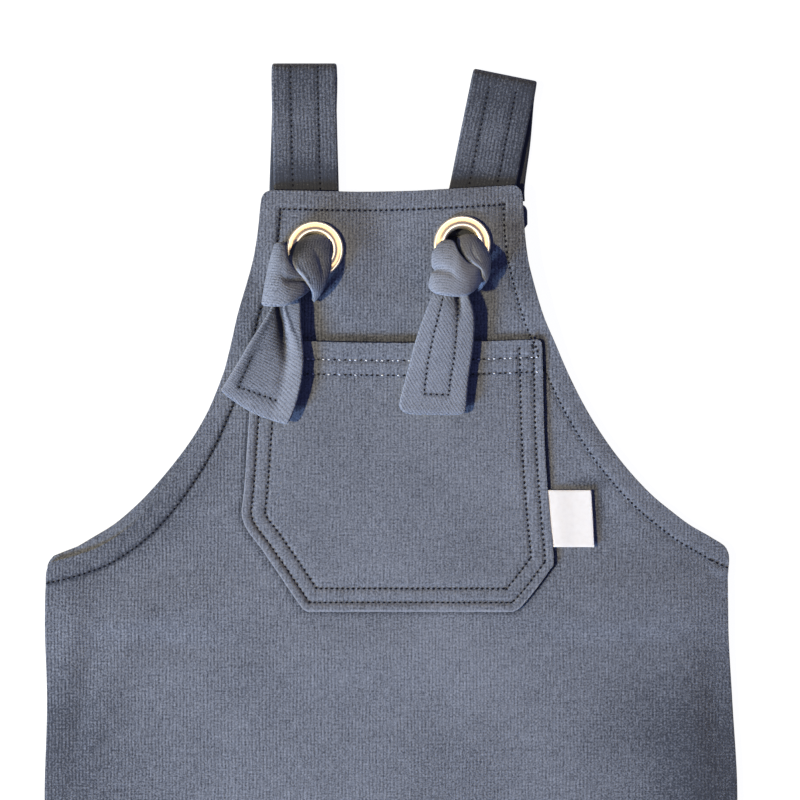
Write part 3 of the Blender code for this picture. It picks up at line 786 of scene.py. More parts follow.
def body_places(rows, row_drops, columns, i, j):
    """Where each vertex of a body panel lies: one sheet to the crotch, and two legs below it."""
    middle = columns // 2
    share = denser_at_edges(columns, 0.4)
    drop = row_drops[i]
    left = column(rows, drop, "left")
    right = column(rows, drop, "right")
    even = left + (right - left) * share[j]
    leg = np.zeros(len(j))
    on_left = j < middle
    on_right = j > middle
    inner = share[middle - 1]
    leg_drop = np.maximum(drop, CROTCH_DROP)
    outer_left, inner_left = (column(LEG_ROWS, leg_drop, f) for f in ("outer_left", "inner_left"))
    inner_right, outer_right = (column(LEG_ROWS, leg_drop, f) for f in ("inner_right", "outer_right"))
    leg[on_left] = (outer_left + (inner_left - outer_left) * share[j] / inner)[on_left]
    leg[on_right] = (outer_right + (inner_right - outer_right) * (1.0 - share[j]) / inner)[on_right]
    split = ease((drop - CROTCH_DROP + SPLIT_BLEND) / SPLIT_BLEND)
    x = even * (1.0 - split) + leg * split
    shown = drop - CROTCH_ARCH * ((j == middle) & (drop >= CROTCH_DROP))
    return x, shown


def part_legs(bm, columns, row_drops, i, j):
    """Deletes the faces between the legs."""
    bm.verts.ensure_lookup_table()
    middle = columns // 2
    crotch = int(np.searchsorted(row_drops, CROTCH_DROP))
    gap = []
    for face in bm.faces:
        ks = [v.index for v in face.verts]
        if min(i[ks]) >= crotch and max(j[ks]) <= middle + 1 and min(j[ks]) >= middle - 1:
            gap.append(face)
    bmesh.ops.delete(bm, geom=gap, context="FACES")


def pierce(bm, radius):
    """Opens the front under each eyelet and rounds the hole."""
    for ex, edrop in EYELET_CENTRES:
        centre = Vector((ex, BIB_TOP - edrop, 0.0)) * MM
        near = [f for f in bm.faces if (f.calc_center_median() - centre).xy.length < radius * MM]
        rim = {v for f in near for v in f.verts}
        bmesh.ops.delete(bm, geom=near, context="FACES")
        for vert in rim:
            if vert.is_valid and vert.link_faces:
                out = (vert.co - centre).xy.normalized() * radius * MM
                vert.co.xy = centre.xy + out


# %% Front
LEG_HEM_GRID = HEM_DROP - 26.0
front_drops = np.concatenate([
    [0.0, 0.7, 1.5, 2.6, 4.0],
    np.arange(5.2, 170.0, 1.05),
    np.arange(170.5, 276.0, 2.1),
    np.arange(278.0, 358.0, 4.0),
    np.arange(CROTCH_DROP, LEG_HEM_GRID, 6.0),
    np.arange(LEG_HEM_GRID, HEM_DROP + 0.1, 2.0),
])
FRONT_COLUMNS = 144
bm, j, i = flat_grid(FRONT_COLUMNS, len(front_drops) - 1)
x, drop = body_places(FRONT_ROWS, front_drops, FRONT_COLUMNS, i, j)
drop = drop + bib_edge_dip(x, drop)
lay(bm, x, drop, front_form(x, drop), x, -drop, front_tone(x, drop))
part_legs(bm, FRONT_COLUMNS, front_drops, i, j)
pierce(bm, HOLE_RADIUS)
front = piece("front_jersey", bm, body_jersey, "jersey", "front")
give_wall(front, CLOTH, CUT_EDGE)

# %% Back
back_drops = np.concatenate([
    [6.0, 6.7, 7.6, 9.0],
    np.arange(11.0, 176.0, 2.0),
    np.arange(178.0, 358.0, 6.0),
    np.arange(CROTCH_DROP, LEG_HEM_GRID, 8.0),
    np.arange(LEG_HEM_GRID, HEM_DROP + 0.1, 3.25),
])
BACK_COLUMNS = 96
back_hem_lines = (
    np.array([[-52.0, 6.0], [57.4, 6.0]]),
    edge_line(BACK_ROWS, "left", 7.0, 165.0),
    edge_line(BACK_ROWS, "right", 7.0, 161.0),
)
back_rows = [moved_in(back_hem_lines[1], HEM), moved_in(back_hem_lines[2][::-1], HEM)] + leg_hem_rows


def back_form(x, drop):
    """Lower face of the back, which never sinks below the table."""
    points = np.column_stack([x, drop])
    return np.maximum(0.0, hems(points, back_hem_lines, 0.35, 0.35) + sewn(points, back_rows, 0.2))


bm, j, i = flat_grid(BACK_COLUMNS, len(back_drops) - 1)
x, drop = body_places(BACK_ROWS, back_drops, BACK_COLUMNS, i, j)
lay(bm, x, drop, back_form(x, drop), x, -drop)
part_legs(bm, BACK_COLUMNS, back_drops, i, j)
back = piece("back_jersey", bm, inside_jersey, "jersey", "back")
give_wall(back, CLOTH, CUT_EDGE)

# %% [markdown]
# ## The pocket and the label
# The pocket is a patch with cut lower corners, turned under all round, sewn down with two rows and left
# open at the top, where the hem is held by two rows of its own. It lies on the front's form, so it is the
# same height formula lifted by one cloth, with a soft rim where the turned edge makes it double. The label
# is a strip of tape folded in half and caught in the pocket's side seam. It is left bare.

# %% Pocket
POCKET_MOUTH = 0.8
POCKET_GAP = 0.15
POCKET_EDGE = 0.4


def pocket_form(x, drop):
    """Lower face of the pocket, at drops that already hold the sag of its top edge."""
    points = np.column_stack([x, drop])
    edge = measure_to(points, pocket_side)[0]
    from_top = measure_to(points, pocket_top)[0]
    mouth = POCKET_MOUTH * pocket_across(x) * fade(drop, POCKET_DROP, 26.0)
    # On the right, where the label is caught, the turned rim lies almost flat.
    turned = 0.1 + 0.9 * fade(x, 50.0, 12.0)
    rim = turned * (0.38 * fade(edge, 2.6, 1.3) + 0.16 * fade(edge, 9.0, 2.0))
    top_hem = 0.42 * fade(from_top, 14.2, 1.4)
    return (front_top(x, drop) + crease_height(x, drop, FINE) + POCKET_GAP + mouth
            + np.maximum(rim, top_hem) + sewn(points, pocket_rows + mouth_rows, GROOVE))


pocket_drops = np.concatenate([
    [POCKET_DROP, 66.3, 67.2],
    np.arange(68.2, 184.4, 0.93),
    [184.4, POCKET_FOOT],
])
POCKET_COLUMNS = 150
bm, j, i = flat_grid(POCKET_COLUMNS, len(pocket_drops) - 1)
drop = pocket_drops[i]
left = column(POCKET_ROWS, drop, "left")
right = column(POCKET_ROWS, drop, "right")
x = left + (right - left) * denser_at_edges(POCKET_COLUMNS, 0.25)[j]
drop = drop + pocket_sag(x, drop)
lay(bm, x, drop, pocket_form(x, drop), x, -drop, pocket_tone(x, drop))
pocket = piece("pocket_jersey", bm, pocket_jersey, "jersey", "pocket")
give_wall(pocket, CLOTH, POCKET_EDGE)

# %% Label
LABEL_DROP = 132.0
LABEL_TALL = 25.0
LABEL_ROWS = (
    Row(LABEL_DROP, 68.6, 88.0),
    Row(144.0, 69.6, 88.7),
    Row(LABEL_DROP + LABEL_TALL, 71.0, 89.4),
)
LABEL_LENGTH = 40.0
LABEL_GAP = 0.5
LABEL_CURL = 0.4
TAPE_WALL = 0.26
TAPE_EDGE = 0.08
LAYER_GAP = 0.62
FOLD_START = 0.42
LABEL_COLUMNS = 48
LABEL_LINES = 20

bm, j, i = flat_grid(LABEL_COLUMNS, LABEL_LINES)
drop = LABEL_DROP + LABEL_TALL * i / LABEL_LINES
left = column(LABEL_ROWS, drop, "left")
width = column(LABEL_ROWS, drop, "right") - left - LAYER_GAP / 2
run = j / LABEL_COLUMNS
turn = np.clip((run - FOLD_START) / (1.0 - 2.0 * FOLD_START), 0.0, 1.0) * np.pi
straight = np.minimum(np.minimum(run, 1.0 - run) / FOLD_START, 1.0)
x = left + width * straight + LAYER_GAP / 2 * np.sin(turn)
lift = LAYER_GAP / 2 * (1.0 - np.cos(turn)) + 0.25 * bell(x - left - 4.0, 5.0) * (run > 0.5)
curl = LABEL_CURL * np.clip((x - left) / width, 0.0, 1.0) ** 2
z = front_top(x, drop) + crease_height(x, drop, FINE) + LABEL_GAP + lift + curl
lay(bm, x, drop, z, run * LABEL_LENGTH, -drop)
label = piece("label_tape", bm, label_tape, "woven_tape", "label")
give_wall(label, TAPE_WALL, TAPE_EDGE, offset=0.0)
print("label:", len(label.data.polygons), "faces")

# %% [markdown]
# ## Straps as lofted tape
# A strap is jersey folded to four layers and stitched, about 2 mm thick with round edges. The flat runs
# could be swept along a curve, but a knot cannot: the tape gathers, turns on edge and fans out. So every
# stretch is a loft. A table says where the tape's two edges are at each station, how far its middle bulges,
# and where a fold is pressed in. The section goes round the tape, and a grid is rolled up along it, welded,
# and closed at its ends.

# %% Tape helpers
TAPE_HALF = 14.25
TAPE_DEEP = 1.0
FLAT_STEPS = 26
EDGE_STEPS = 8
THREAD_SEAT = 0.72
BOW_RUN = 12.0
UNDERSIDE_SHIFT = 40.0
Span = namedtuple("Span", "x0 drop0 z0 x1 drop1 z1 bulge fold fold_at deep")
Stretch = namedtuple("Stretch", "middle width out half bulge fold fold_at deep reach")
Band = namedtuple("Band", "spots width")


def tape_outline():
    """Round the tape: share of the flat half, then the round edge's sideways and outward parts."""
    outline = []
    for side in (1.0, -1.0):
        for k in range(EDGE_STEPS):
            a = math.radians(-90.0 + 180.0 * k / EDGE_STEPS)
            outline.append((side, side * math.cos(a), side * math.sin(a)))
        for k in range(FLAT_STEPS):
            outline.append((side * (1.0 - 2.0 * k / FLAT_STEPS), 0.0, side))
    return np.array(outline)


def smooth_table(rows, gap):
    """A table's rows with smooth rows between them, about gap millimetres apart along its middle."""
    table = np.array(rows, dtype=float)
    middle = (table[:, 0:3] + table[:, 3:6]) / 2
    count = len(table)
    result = []
    for k in range(count - 1):
        steps = max(1, int(round(np.linalg.norm(middle[k + 1] - middle[k]) / gap)))
        p0, p1, p2, p3 = (table[min(max(n, 0), count - 1)] for n in (k - 1, k, k + 1, k + 2))
        for s in range(steps):
            t = s / steps
            result.append(0.5 * (2 * p1 + (p2 - p0) * t + (2 * p0 - 5 * p1 + 4 * p2 - p3) * t * t
                                 + (3 * p1 - p0 - 3 * p2 + p3) * t ** 3))
    result.append(table[-1])
    return np.array(result)


def unit(vectors):
    return vectors / np.maximum(np.linalg.norm(vectors, axis=1), 1e-9)[:, None]


def under_lens(places):
    """Places read on the cloth's plane, moved to where they cover the same spot from their own height."""
    centre = np.array(PHOTO_CENTRE)
    nearer = (camera_height - places[:, 2:3]) / stand_off
    x, drop = (centre + (places[:, 0:2] - centre) * nearer).T
    return np.column_stack([x, BIB_TOP - drop, places[:, 2]])


def stretch(spans, gap):
    """A tape's stations as smooth arrays in the frame: middle, two directions, widths and length so far."""
    rows = smooth_table(spans, gap)
    p0 = under_lens(rows[:, 0:3])
    p1 = under_lens(rows[:, 3:6])
    middle = (p0 + p1) / 2
    width = unit(p1 - p0)
    out = unit(np.cross(unit(np.gradient(middle, axis=0)), width))
    reach = np.concatenate([[0.0], np.cumsum(np.linalg.norm(np.diff(middle, axis=0), axis=1))])
    return Stretch(middle, width, out, np.linalg.norm(p1 - p0, axis=1) / 2, *rows[:, 6:10].T, reach)


def swell(s, place):
    """How far the tape's middle layer stands out at a place from -1 at one edge to 1 at the other."""
    bulge = s.bulge[:, None] * (1.0 - np.clip(place, -1.0, 1.0) ** 2)
    beside = place - s.fold_at[:, None]
    return bulge - s.fold[:, None] * (0.55 * bell(beside, 0.12) + 0.45 * bell(beside, 0.42))


def at_reach(s, reach):
    """The station at one length along a stretch."""
    station = []
    for part in s:
        values = [np.interp(reach, s.reach, series) for series in part.reshape(len(part), -1).T]
        station.append(np.array(values if part.ndim == 1 else [values]))
    return Stretch(*station)


def on_tape(s, place, reach, bow=(0.0, 2.0)):
    """A spot on a tape's upper face and the direction away from it."""
    spot = at_reach(s, reach)
    lift = swell(spot, np.array([[place]]))[0, 0] + spot.deep[0] * THREAD_SEAT
    point = spot.middle[0] + spot.width[0] * spot.half[0] * place + spot.out[0] * lift
    return point + end_bow(s, np.array([place]), np.array([reach]), bow)[0], spot.out[0]


def seam_on_tape(s, spots, bow=(0.0, 2.0)):
    """A line of sewing through spots (place, reach), with the direction away from the tape at each point."""
    line = resample(np.array(spots) * [TAPE_HALF, 1.0], 1.0) / [TAPE_HALF, 1.0]
    return tuple(np.array(part) for part in zip(*[on_tape(s, place, reach, bow) for place, reach in line]))


def end_bow(s, place, reach, bow):
    """How far the cloth near a tape's end reaches past its straight end: bow is (length, roundness)."""
    length, roundness = bow
    run = unit(np.gradient(s.middle, axis=0))[-1]
    near_end = ease((reach - s.reach[-1]) / BOW_RUN + 1.0)
    share = length * (1.0 - np.abs(np.clip(place, -1.0, 1.0)) ** roundness) * near_end
    return share[..., None] * run


def loft(s, seams=(), slant=0.0, open_edge=0.0, fine=1.0, bow=(0.0, 2.0), shades=()):
    """A closed body of tape. seams are its stitch rows as spots, along which shade is painted, shades are
    bands of painted shade and painted highlight.
    """
    outline = tape_outline()
    share, side, rise = outline.T
    flat = np.maximum(s.half - s.deep, 0.2)
    across = share[None, :] * flat[:, None] + side[None, :] * s.deep[:, None]
    place = across / np.maximum(s.half, 0.5)[:, None]
    skin = rise[None, :] * s.deep[:, None]
    flat_place = np.column_stack([(place * TAPE_HALF).ravel(), np.repeat(s.reach, len(outline))])
    painted_light = np.zeros(place.shape)
    for seam in seams:
        measures = measure_to(flat_place, np.array(seam) * [TAPE_HALF, 1.0])
        far, along = (part.reshape(place.shape) for part in measures)
        hole = 0.7 - 0.3 * np.cos(2.0 * np.pi * along / STITCH)
        skin = skin * (1.0 - 0.32 * hole * bell(far, 0.95))
        # Painted shade along each stitch row, darkest at the needle holes.
        painted_light -= 0.52 * hole * bell(far, 0.75)
    for band in shades:
        reaches, places, strengths = zip(*band.spots)
        centre = np.interp(s.reach, reaches, places)
        strength = np.interp(s.reach, reaches, strengths, 0.0, 0.0)
        painted_light += strength[:, None] * bell(place - centre[:, None], band.width)
    across = across - side[None, :] * open_edge * bell(rise[None, :], 0.4)
    body = (s.middle[:, None, :] + s.width[:, None, :] * across[:, :, None]
            + s.out[:, None, :] * (swell(s, place) + skin)[:, :, None]
            + end_bow(s, place, s.reach[:, None], bow))

    count = len(outline)
    bm, j, i = flat_grid(count, len(s.half) - 1)
    k = j % count
    x, y, z = body[i, k].T
    u = across[i, k] * np.where(rise[k] < 0, -1.0, 1.0) + UNDERSIDE_SHIFT * (rise[k] < 0)
    v = s.reach[i]
    a = math.radians(slant)
    lay(bm, x, BIB_TOP - y, z,
        fine * (u * math.cos(a) + v * math.sin(a)), fine * (v * math.cos(a) - u * math.sin(a)), painted_light[i, k])
    bmesh.ops.remove_doubles(bm, verts=bm.verts, dist=0.001 * MM)
    bmesh.ops.holes_fill(bm, edges=[e for e in bm.edges if e.is_boundary])
    bmesh.ops.recalc_face_normals(bm, faces=bm.faces)
    mesh = bpy.data.meshes.new("stretch")
    bm.to_mesh(mesh)
    bm.free()
    return mesh


def flat_span(x, drop, z, half=TAPE_HALF, turn=0.0):
    """A station of tape that is not folded, from its middle."""
    a = math.radians(turn)
    side = (half * math.cos(a), half * math.sin(a))
    return Span(x - side[0], drop + side[1], z, x + side[0], drop - side[1], z, 0.0, 0.0, 0.0, TAPE_DEEP)


print("a tape's section has", len(tape_outline()), "points")

# %% [markdown]
# ## From the back's seam to the eyelet
# Each strap is sewn to the top of the back, runs up, folds over at the shoulder, lies back on itself and
# goes down between the bib and the back to the eyelet, where it gathers and turns up through the ring.

# %% Hidden and folded runs
STRAP_RUNS = {
    "left": (
        flat_span(-39.2, 5.3, 1.0),
        flat_span(-39.2, -2.0, 1.0),
        flat_span(-38.4, -24.0, 1.0),
        flat_span(-37.8, -46.0, 1.0),
        flat_span(-37.9, -51.4, 1.1),
        flat_span(-38.0, -54.0, 1.6),
        flat_span(-38.1, -54.7, 2.5),
        flat_span(-38.2, -54.0, 3.4),
        flat_span(-38.3, -51.4, 3.7),
        flat_span(-38.3, -46.0, 3.6, turn=1.0),
        flat_span(-37.8, -24.0, 3.4, turn=2.0),
        flat_span(-37.2, -2.0, 3.3, turn=2.0),
        flat_span(-36.0, 10.0, 3.2, 13.2, 3.0),
        flat_span(-34.2, 17.2, 2.9, 9.6, 3.0),
        flat_span(-33.0, 20.6, 3.1, 7.0),
        flat_span(-32.4, 22.2, 4.6, 5.6),
    ),
    "right": (
        flat_span(44.7, 4.9, 1.0),
        flat_span(44.7, -2.0, 1.0),
        flat_span(47.2, -22.0, 1.0, turn=-7.0),
        flat_span(48.9, -41.0, 1.0, turn=-11.0),
        flat_span(49.7, -46.4, 1.1, turn=-11.5),
        flat_span(50.1, -49.0, 1.6, turn=-11.5),
        flat_span(50.2, -49.7, 2.5, turn=-11.5),
        flat_span(50.0, -49.0, 3.4, turn=-11.5),
        flat_span(49.4, -46.4, 3.7, turn=-11.5),
        flat_span(48.3, -41.0, 3.6, turn=-11.5),
        flat_span(44.4, -22.0, 3.4, turn=-11.0),
        flat_span(40.6, -3.0, 3.3, turn=-12.0),
        flat_span(37.4, 8.0, 3.2, 13.2, -14.0),
        flat_span(34.0, 14.8, 2.9, 9.6, -12.0),
        flat_span(31.9, 18.2, 3.1, 7.0),
        flat_span(31.6, 20.0, 4.6, 5.6),
    ),
}
print("run stations:", {side: len(rows) for side, rows in STRAP_RUNS.items()})

# %% [markdown]
# ## The knots
# Out of the ring the tape swells to the right as a bulging neck, whose own edge shows as a pale crescent.
# One turn of tape runs round it from the left, wide where it starts and gathered to a point where it tucks
# in at the right. The tail hangs out below. Neck, turn and tail are three lofts that meet inside the knot,
# where nobody sees them.

# %% Knot tables
NECKS = {
    "left": (
        Span(-38.4, 23.5, 3.0, -27.6, 21.2, 3.0, 0.6, 0.0, 0.0, 1.1),
        Span(-38.8, 22.2, 7.5, -26.8, 21.0, 7.0, 1.2, 0.0, 0.0, 1.1),
        Span(-43.8, 25.0, 11.8, -25.6, 25.0, 10.0, 2.2, 0.0, 0.0, 1.2),
        Span(-45.2, 31.0, 15.8, -25.8, 30.6, 12.0, 2.4, 1.0, 0.35, 1.3),
        Span(-42.8, 34.9, 17.6, -26.2, 34.9, 12.5, 2.0, 0.8, 0.4, 1.3),
        Span(-39.4, 38.2, 18.0, -27.6, 39.4, 12.5, 1.4, 0.2, 0.4, 1.3),
        Span(-36.8, 41.8, 17.0, -29.6, 43.4, 11.5, 0.9, 0.0, 0.0, 1.2),
        Span(-34.9, 44.9, 14.0, -31.8, 46.8, 10.0, 0.4, 0.0, 0.0, 1.1),
        Span(-34.5, 48.4, 10.5, -34.0, 49.3, 9.0, 0.0, 0.0, 0.0, 0.9),
    ),
    "right": (
        Span(29.4, 23.0, 3.0, 37.6, 21.0, 3.0, 0.6, 0.0, 0.0, 1.1),
        Span(29.0, 22.4, 7.5, 38.2, 20.8, 7.0, 1.2, 0.0, 0.0, 1.1),
        Span(29.4, 24.2, 11.4, 41.4, 24.6, 9.8, 1.8, 0.0, 0.0, 1.2),
        Span(30.8, 27.4, 14.8, 43.4, 28.8, 12.4, 1.8, 0.6, -0.3, 1.2),
        Span(33.2, 30.6, 16.6, 44.0, 32.2, 13.0, 1.5, 0.4, -0.3, 1.2),
        Span(36.6, 33.0, 17.4, 43.4, 36.4, 13.0, 1.0, 0.0, 0.0, 1.2),
        Span(39.4, 34.8, 16.6, 42.2, 40.0, 12.0, 0.5, 0.0, 0.0, 1.1),
        Span(39.8, 39.0, 13.0, 40.4, 42.8, 10.2, 0.2, 0.0, 0.0, 1.0),
        Span(38.2, 43.4, 10.0, 38.6, 44.8, 9.4, 0.0, 0.0, 0.0, 0.8),
    ),
}
# The lower edge of the turn comes first in each row, then its upper edge.
TURNS = {
    "left": (
        Span(-54.5, 50.0, 8.5, -49.5, 25.0, 9.0, 0.0, 0.0, 0.1, 1.0),
        Span(-56.0, 50.6, 11.0, -50.4, 23.8, 11.5, 0.4, 0.0, 0.1, 1.0),
        Span(-55.6, 51.0, 15.0, -49.8, 23.2, 15.0, 0.8, 0.2, 0.1, 1.1),
        Span(-52.8, 51.3, 18.0, -48.2, 23.0, 17.5, 1.0, 0.3, 0.0, 1.1),
        Span(-49.5, 51.3, 19.2, -46.2, 24.2, 17.4, 1.3, 0.7, 0.0, 1.1),
        Span(-45.8, 50.9, 19.6, -45.6, 29.0, 17.8, 1.4, 1.7, 0.0, 1.1),
        Span(-42.0, 48.8, 18.4, -43.4, 33.4, 17.6, 1.4, 2.4, 0.15, 1.1),
        Span(-38.6, 46.6, 16.2, -39.8, 36.9, 16.4, 1.2, 2.0, 0.35, 1.1),
        Span(-36.4, 44.6, 13.0, -37.2, 39.8, 14.0, 0.5, 0.8, 0.4, 1.1),
        Span(-36.6, 43.6, 10.0, -36.9, 41.6, 10.0, 0.0, 0.0, 0.0, 1.0),
    ),
    "right": (
        Span(20.7, 43.1, 8.5, 24.2, 23.3, 9.0, 0.0, 0.0, 0.0, 1.0),
        Span(18.0, 43.0, 10.5, 20.0, 25.5, 11.0, 0.2, 1.6, -0.05, 1.0),
        Span(17.6, 43.8, 13.6, 19.6, 26.6, 14.0, 0.6, 2.6, -0.05, 1.1),
        Span(18.8, 45.2, 17.0, 21.6, 23.0, 13.2, 1.0, 2.4, -0.08, 1.1),
        Span(22.4, 46.2, 19.0, 24.6, 21.9, 13.0, 1.3, 1.5, -0.12, 1.1),
        Span(26.6, 46.8, 19.6, 27.9, 22.8, 13.6, 1.4, 0.7, -0.2, 1.1),
        Span(30.4, 46.9, 19.4, 30.0, 27.3, 15.8, 1.3, 0.3, -0.3, 1.1),
        Span(34.0, 46.2, 18.0, 33.4, 31.4, 16.4, 1.2, 0.0, -0.2, 1.1),
        Span(37.0, 43.9, 15.2, 37.6, 33.0, 15.4, 1.0, 0.2, 0.2, 1.1),
        Span(38.7, 40.7, 12.0, 39.5, 35.4, 13.0, 0.4, 0.2, 0.2, 1.1),
        Span(38.0, 40.0, 9.0, 38.4, 36.6, 9.0, 0.0, 0.0, 0.0, 1.0),
    ),
}
TAILS = {
    "left": (
        Span(-50.4, 44.9, 11.0, -40.4, 43.1, 11.5, 0.6, 0.8, -0.7, 1.0),
        Span(-52.4, 51.0, 11.6, -39.6, 49.3, 12.0, 0.6, 3.0, -0.55, 1.0),
        Span(-57.0, 59.0, 10.6, -39.4, 57.6, 10.9, 0.4, 4.0, 0.0, 1.0),
        Span(-62.2, 67.0, 9.8, -38.9, 66.0, 10.4, 0.2, 3.2, 0.3, 1.0),
        Span(-66.8, 75.0, 9.0, -38.3, 75.0, 10.2, 0.0, 2.0, 0.44, 1.0),
        Span(-71.0, 81.8, 8.5, -39.6, 86.4, 9.8, 0.0, 1.3, 0.48, 1.0),
        Span(-73.6, 86.0, 8.1, -42.0, 95.4, 9.4, -0.1, 0.9, 0.48, 1.0),
        Span(-74.7, 87.7, 7.8, -44.2, 100.9, 9.2, -0.1, 0.8, 0.48, 1.0),
        Span(-74.0, 88.9, 7.5, -45.6, 102.9, 8.8, -0.1, 0.4, 0.48, 0.7),
    ),
    "right": (
        Span(20.7, 41.4, 11.5, 32.6, 41.4, 11.5, 0.6, 0.6, 0.3, 1.0),
        Span(18.0, 46.6, 12.4, 34.6, 47.1, 12.2, 0.8, 2.4, 0.40, 1.0),
        Span(14.2, 56.0, 11.8, 36.7, 55.9, 11.4, 1.0, 0.8, 0.42, 1.0),
        Span(10.2, 68.3, 10.4, 36.3, 68.6, 10.0, 0.8, 0.0, 0.4, 1.0),
        Span(6.5, 82.5, 8.9, 34.3, 82.7, 8.6, 0.5, 0.0, 0.4, 1.0),
        Span(4.2, 91.1, 8.1, 33.5, 92.4, 7.9, 0.3, 0.0, 0.4, 1.1),
        Span(3.8, 95.4, 7.8, 33.2, 96.2, 7.6, 0.3, 0.0, 0.4, 1.15),
        Span(5.0, 97.3, 7.6, 32.6, 97.6, 7.5, 0.2, 0.0, 0.4, 0.8),
    ),
}
print("knot tables for", sorted(NECKS))

# %% Straps
SEAM_PLACE = 0.42
FOLD_RUN = 62.0
SEEN_RUN = 70.0
KNOT_FINE = 1.32
TAIL_SLANT = {"left": -66.0, "right": -38.0}
TAIL_BOW = {"left": (2.4, 2.0), "right": (1.5, 7.0)}
# Rows of stitches on the tails, as spots: place across from -1 to 1, and millimetres from the knot's middle.
TAIL_ROWS = {
    "left": (
        ((-0.66, 30.0), (-0.64, 42.0), (-0.62, 46.2)),
        ((-0.62, 46.2), (-0.3, 46.4), (0.1, 46.9), (0.42, 47.4)),
    ),
    "right": (
        ((-0.40, 5.0), (-0.44, 20.0), (-0.42, 34.0), (-0.33, 47.0)),
        ((0.30, 4.0), (0.33, 18.0), (0.41, 34.0), (0.42, 47.0)),
        ((-0.31, 48.6), (0.40, 48.6)),
    ),
}
# Bands of painted shade and painted highlight along the tapes: shade in the folds' grooves, in the slot
# beside each neck and on the straps' runs, most where they lie under the other layer and by the bib's edge,
# and highlights on the edges and faces that catch the light, such as the necks' pale crescents. Each is
# (reach, place, strength) along the tape, and its width as a share of half the tape.
TAIL_SHADES = {
    "left": (
        Band(((4.0, -0.5, -0.24), (50.0, -0.3, -0.14)), 0.7),
        Band(((4.0, -0.5, -0.9), (14.0, -0.04, -0.9), (24.0, 0.22, -0.6), (34.0, 0.36, -0.1)), 0.24),
        Band(((5.0, -0.74, -0.2), (16.0, -0.68, -0.42), (46.0, -0.64, -0.24)), 0.17),
        Band(((4.0, -0.98, 0.15), (20.0, -0.98, 0.25), (50.0, -0.98, 0.25)), 0.09),
        Band(((4.0, -0.36, 0.7), (15.0, 0.27, 0.6), (22.0, 0.54, 0.4), (28.0, 0.66, 0.1)), 0.08),
        Band(((4.0, -0.18, -0.8), (15.0, 0.50, -0.8), (22.0, 0.80, -0.6), (32.0, 0.95, -0.3)), 0.07),
        Band(((18.0, 0.68, 0.0), (26.0, 0.70, 0.24), (52.0, 0.78, 0.16)), 0.22),
    ),
    "right": (
        Band(((3.0, 0.40, -0.5), (12.0, 0.44, -0.4), (17.0, 0.46, 0.0)), 0.09),
        Band(((3.0, 0.62, 0.2), (20.0, 0.70, 0.1), (56.0, 0.7, 0.1)), 0.25),
        Band(((10.0, 0.0, 0.08), (56.0, 0.0, 0.08)), 1.2),
    ),
}
TURN_SHADES = {
    "left": (
        Band(((12.0, 0.0, -0.1), (16.0, 0.05, -0.42), (26.0, 0.38, -0.42)), 0.13),
        Band(((2.0, 0.9, -0.12), (12.0, 0.9, -0.22)), 0.3),
    ),
    "right": (
        Band(((6.0, 0.0, 0.1), (14.0, 0.0, 0.30), (30.0, 0.0, 0.34)), 1.6),
        Band(((3.0, -0.05, -0.3), (9.0, -0.08, -0.3), (14.0, -0.14, 0.0)), 0.09),
        Band(((4.0, 0.95, -0.1), (16.0, 0.95, -0.2)), 0.25),
    ),
}
NECK_SHADES = {
    "left": (
        Band(((2.0, -1.0, -1.4), (12.0, -1.0, -1.4), (16.0, -1.0, -0.3), (18.0, -1.0, 0.0)), 0.62),
        Band(((15.0, -1.0, 0.4), (32.0, -1.0, 0.9)), 0.16),
        Band(((14.0, -0.76, -0.3), (28.0, -0.66, -0.6)), 0.10),
        Band(((8.0, 0.3, -0.16), (30.0, 0.3, -0.1)), 0.8),
    ),
    "right": (
        Band(((8.0, -0.3, 0.0), (16.0, -0.4, 0.3), (30.0, -0.7, 0.6)), 0.5),
        Band(((12.0, -1.0, -0.7), (18.0, -1.0, -0.5), (21.0, -1.0, 0.0)), 0.10),
        Band(((0.0, 0.3, -0.2), (9.0, 0.3, -0.1)), 1.2),
    ),
}
RUN_SHADES = {
    "left": (
        Band(((0.0, 0.0, -1.0), (48.0, 0.0, -1.0), (56.0, 0.0, -0.60), (72.0, 0.0, -0.50),
              (84.0, 0.0, -0.36), (102.0, 0.0, -0.42), (112.0, 0.0, -0.88), (150.0, 0.0, -0.88)), 3.0),
    ),
    "right": (
        Band(((0.0, 0.0, -1.1), (44.0, 0.0, -1.1), (52.0, -0.4, -0.60), (68.0, -0.4, -0.56),
              (80.0, -0.4, -0.36), (96.0, -0.4, -0.44), (106.0, -0.4, -0.90), (150.0, -0.4, -0.90)), 3.0),
        Band(((50.0, 1.0, -0.25), (120.0, 1.0, -0.25)), 0.6),
    ),
}
RUN_ROWS = [((place, FOLD_RUN), (place, FOLD_RUN + SEEN_RUN)) for place in (-SEAM_PLACE, SEAM_PLACE)]
tape_seams = []
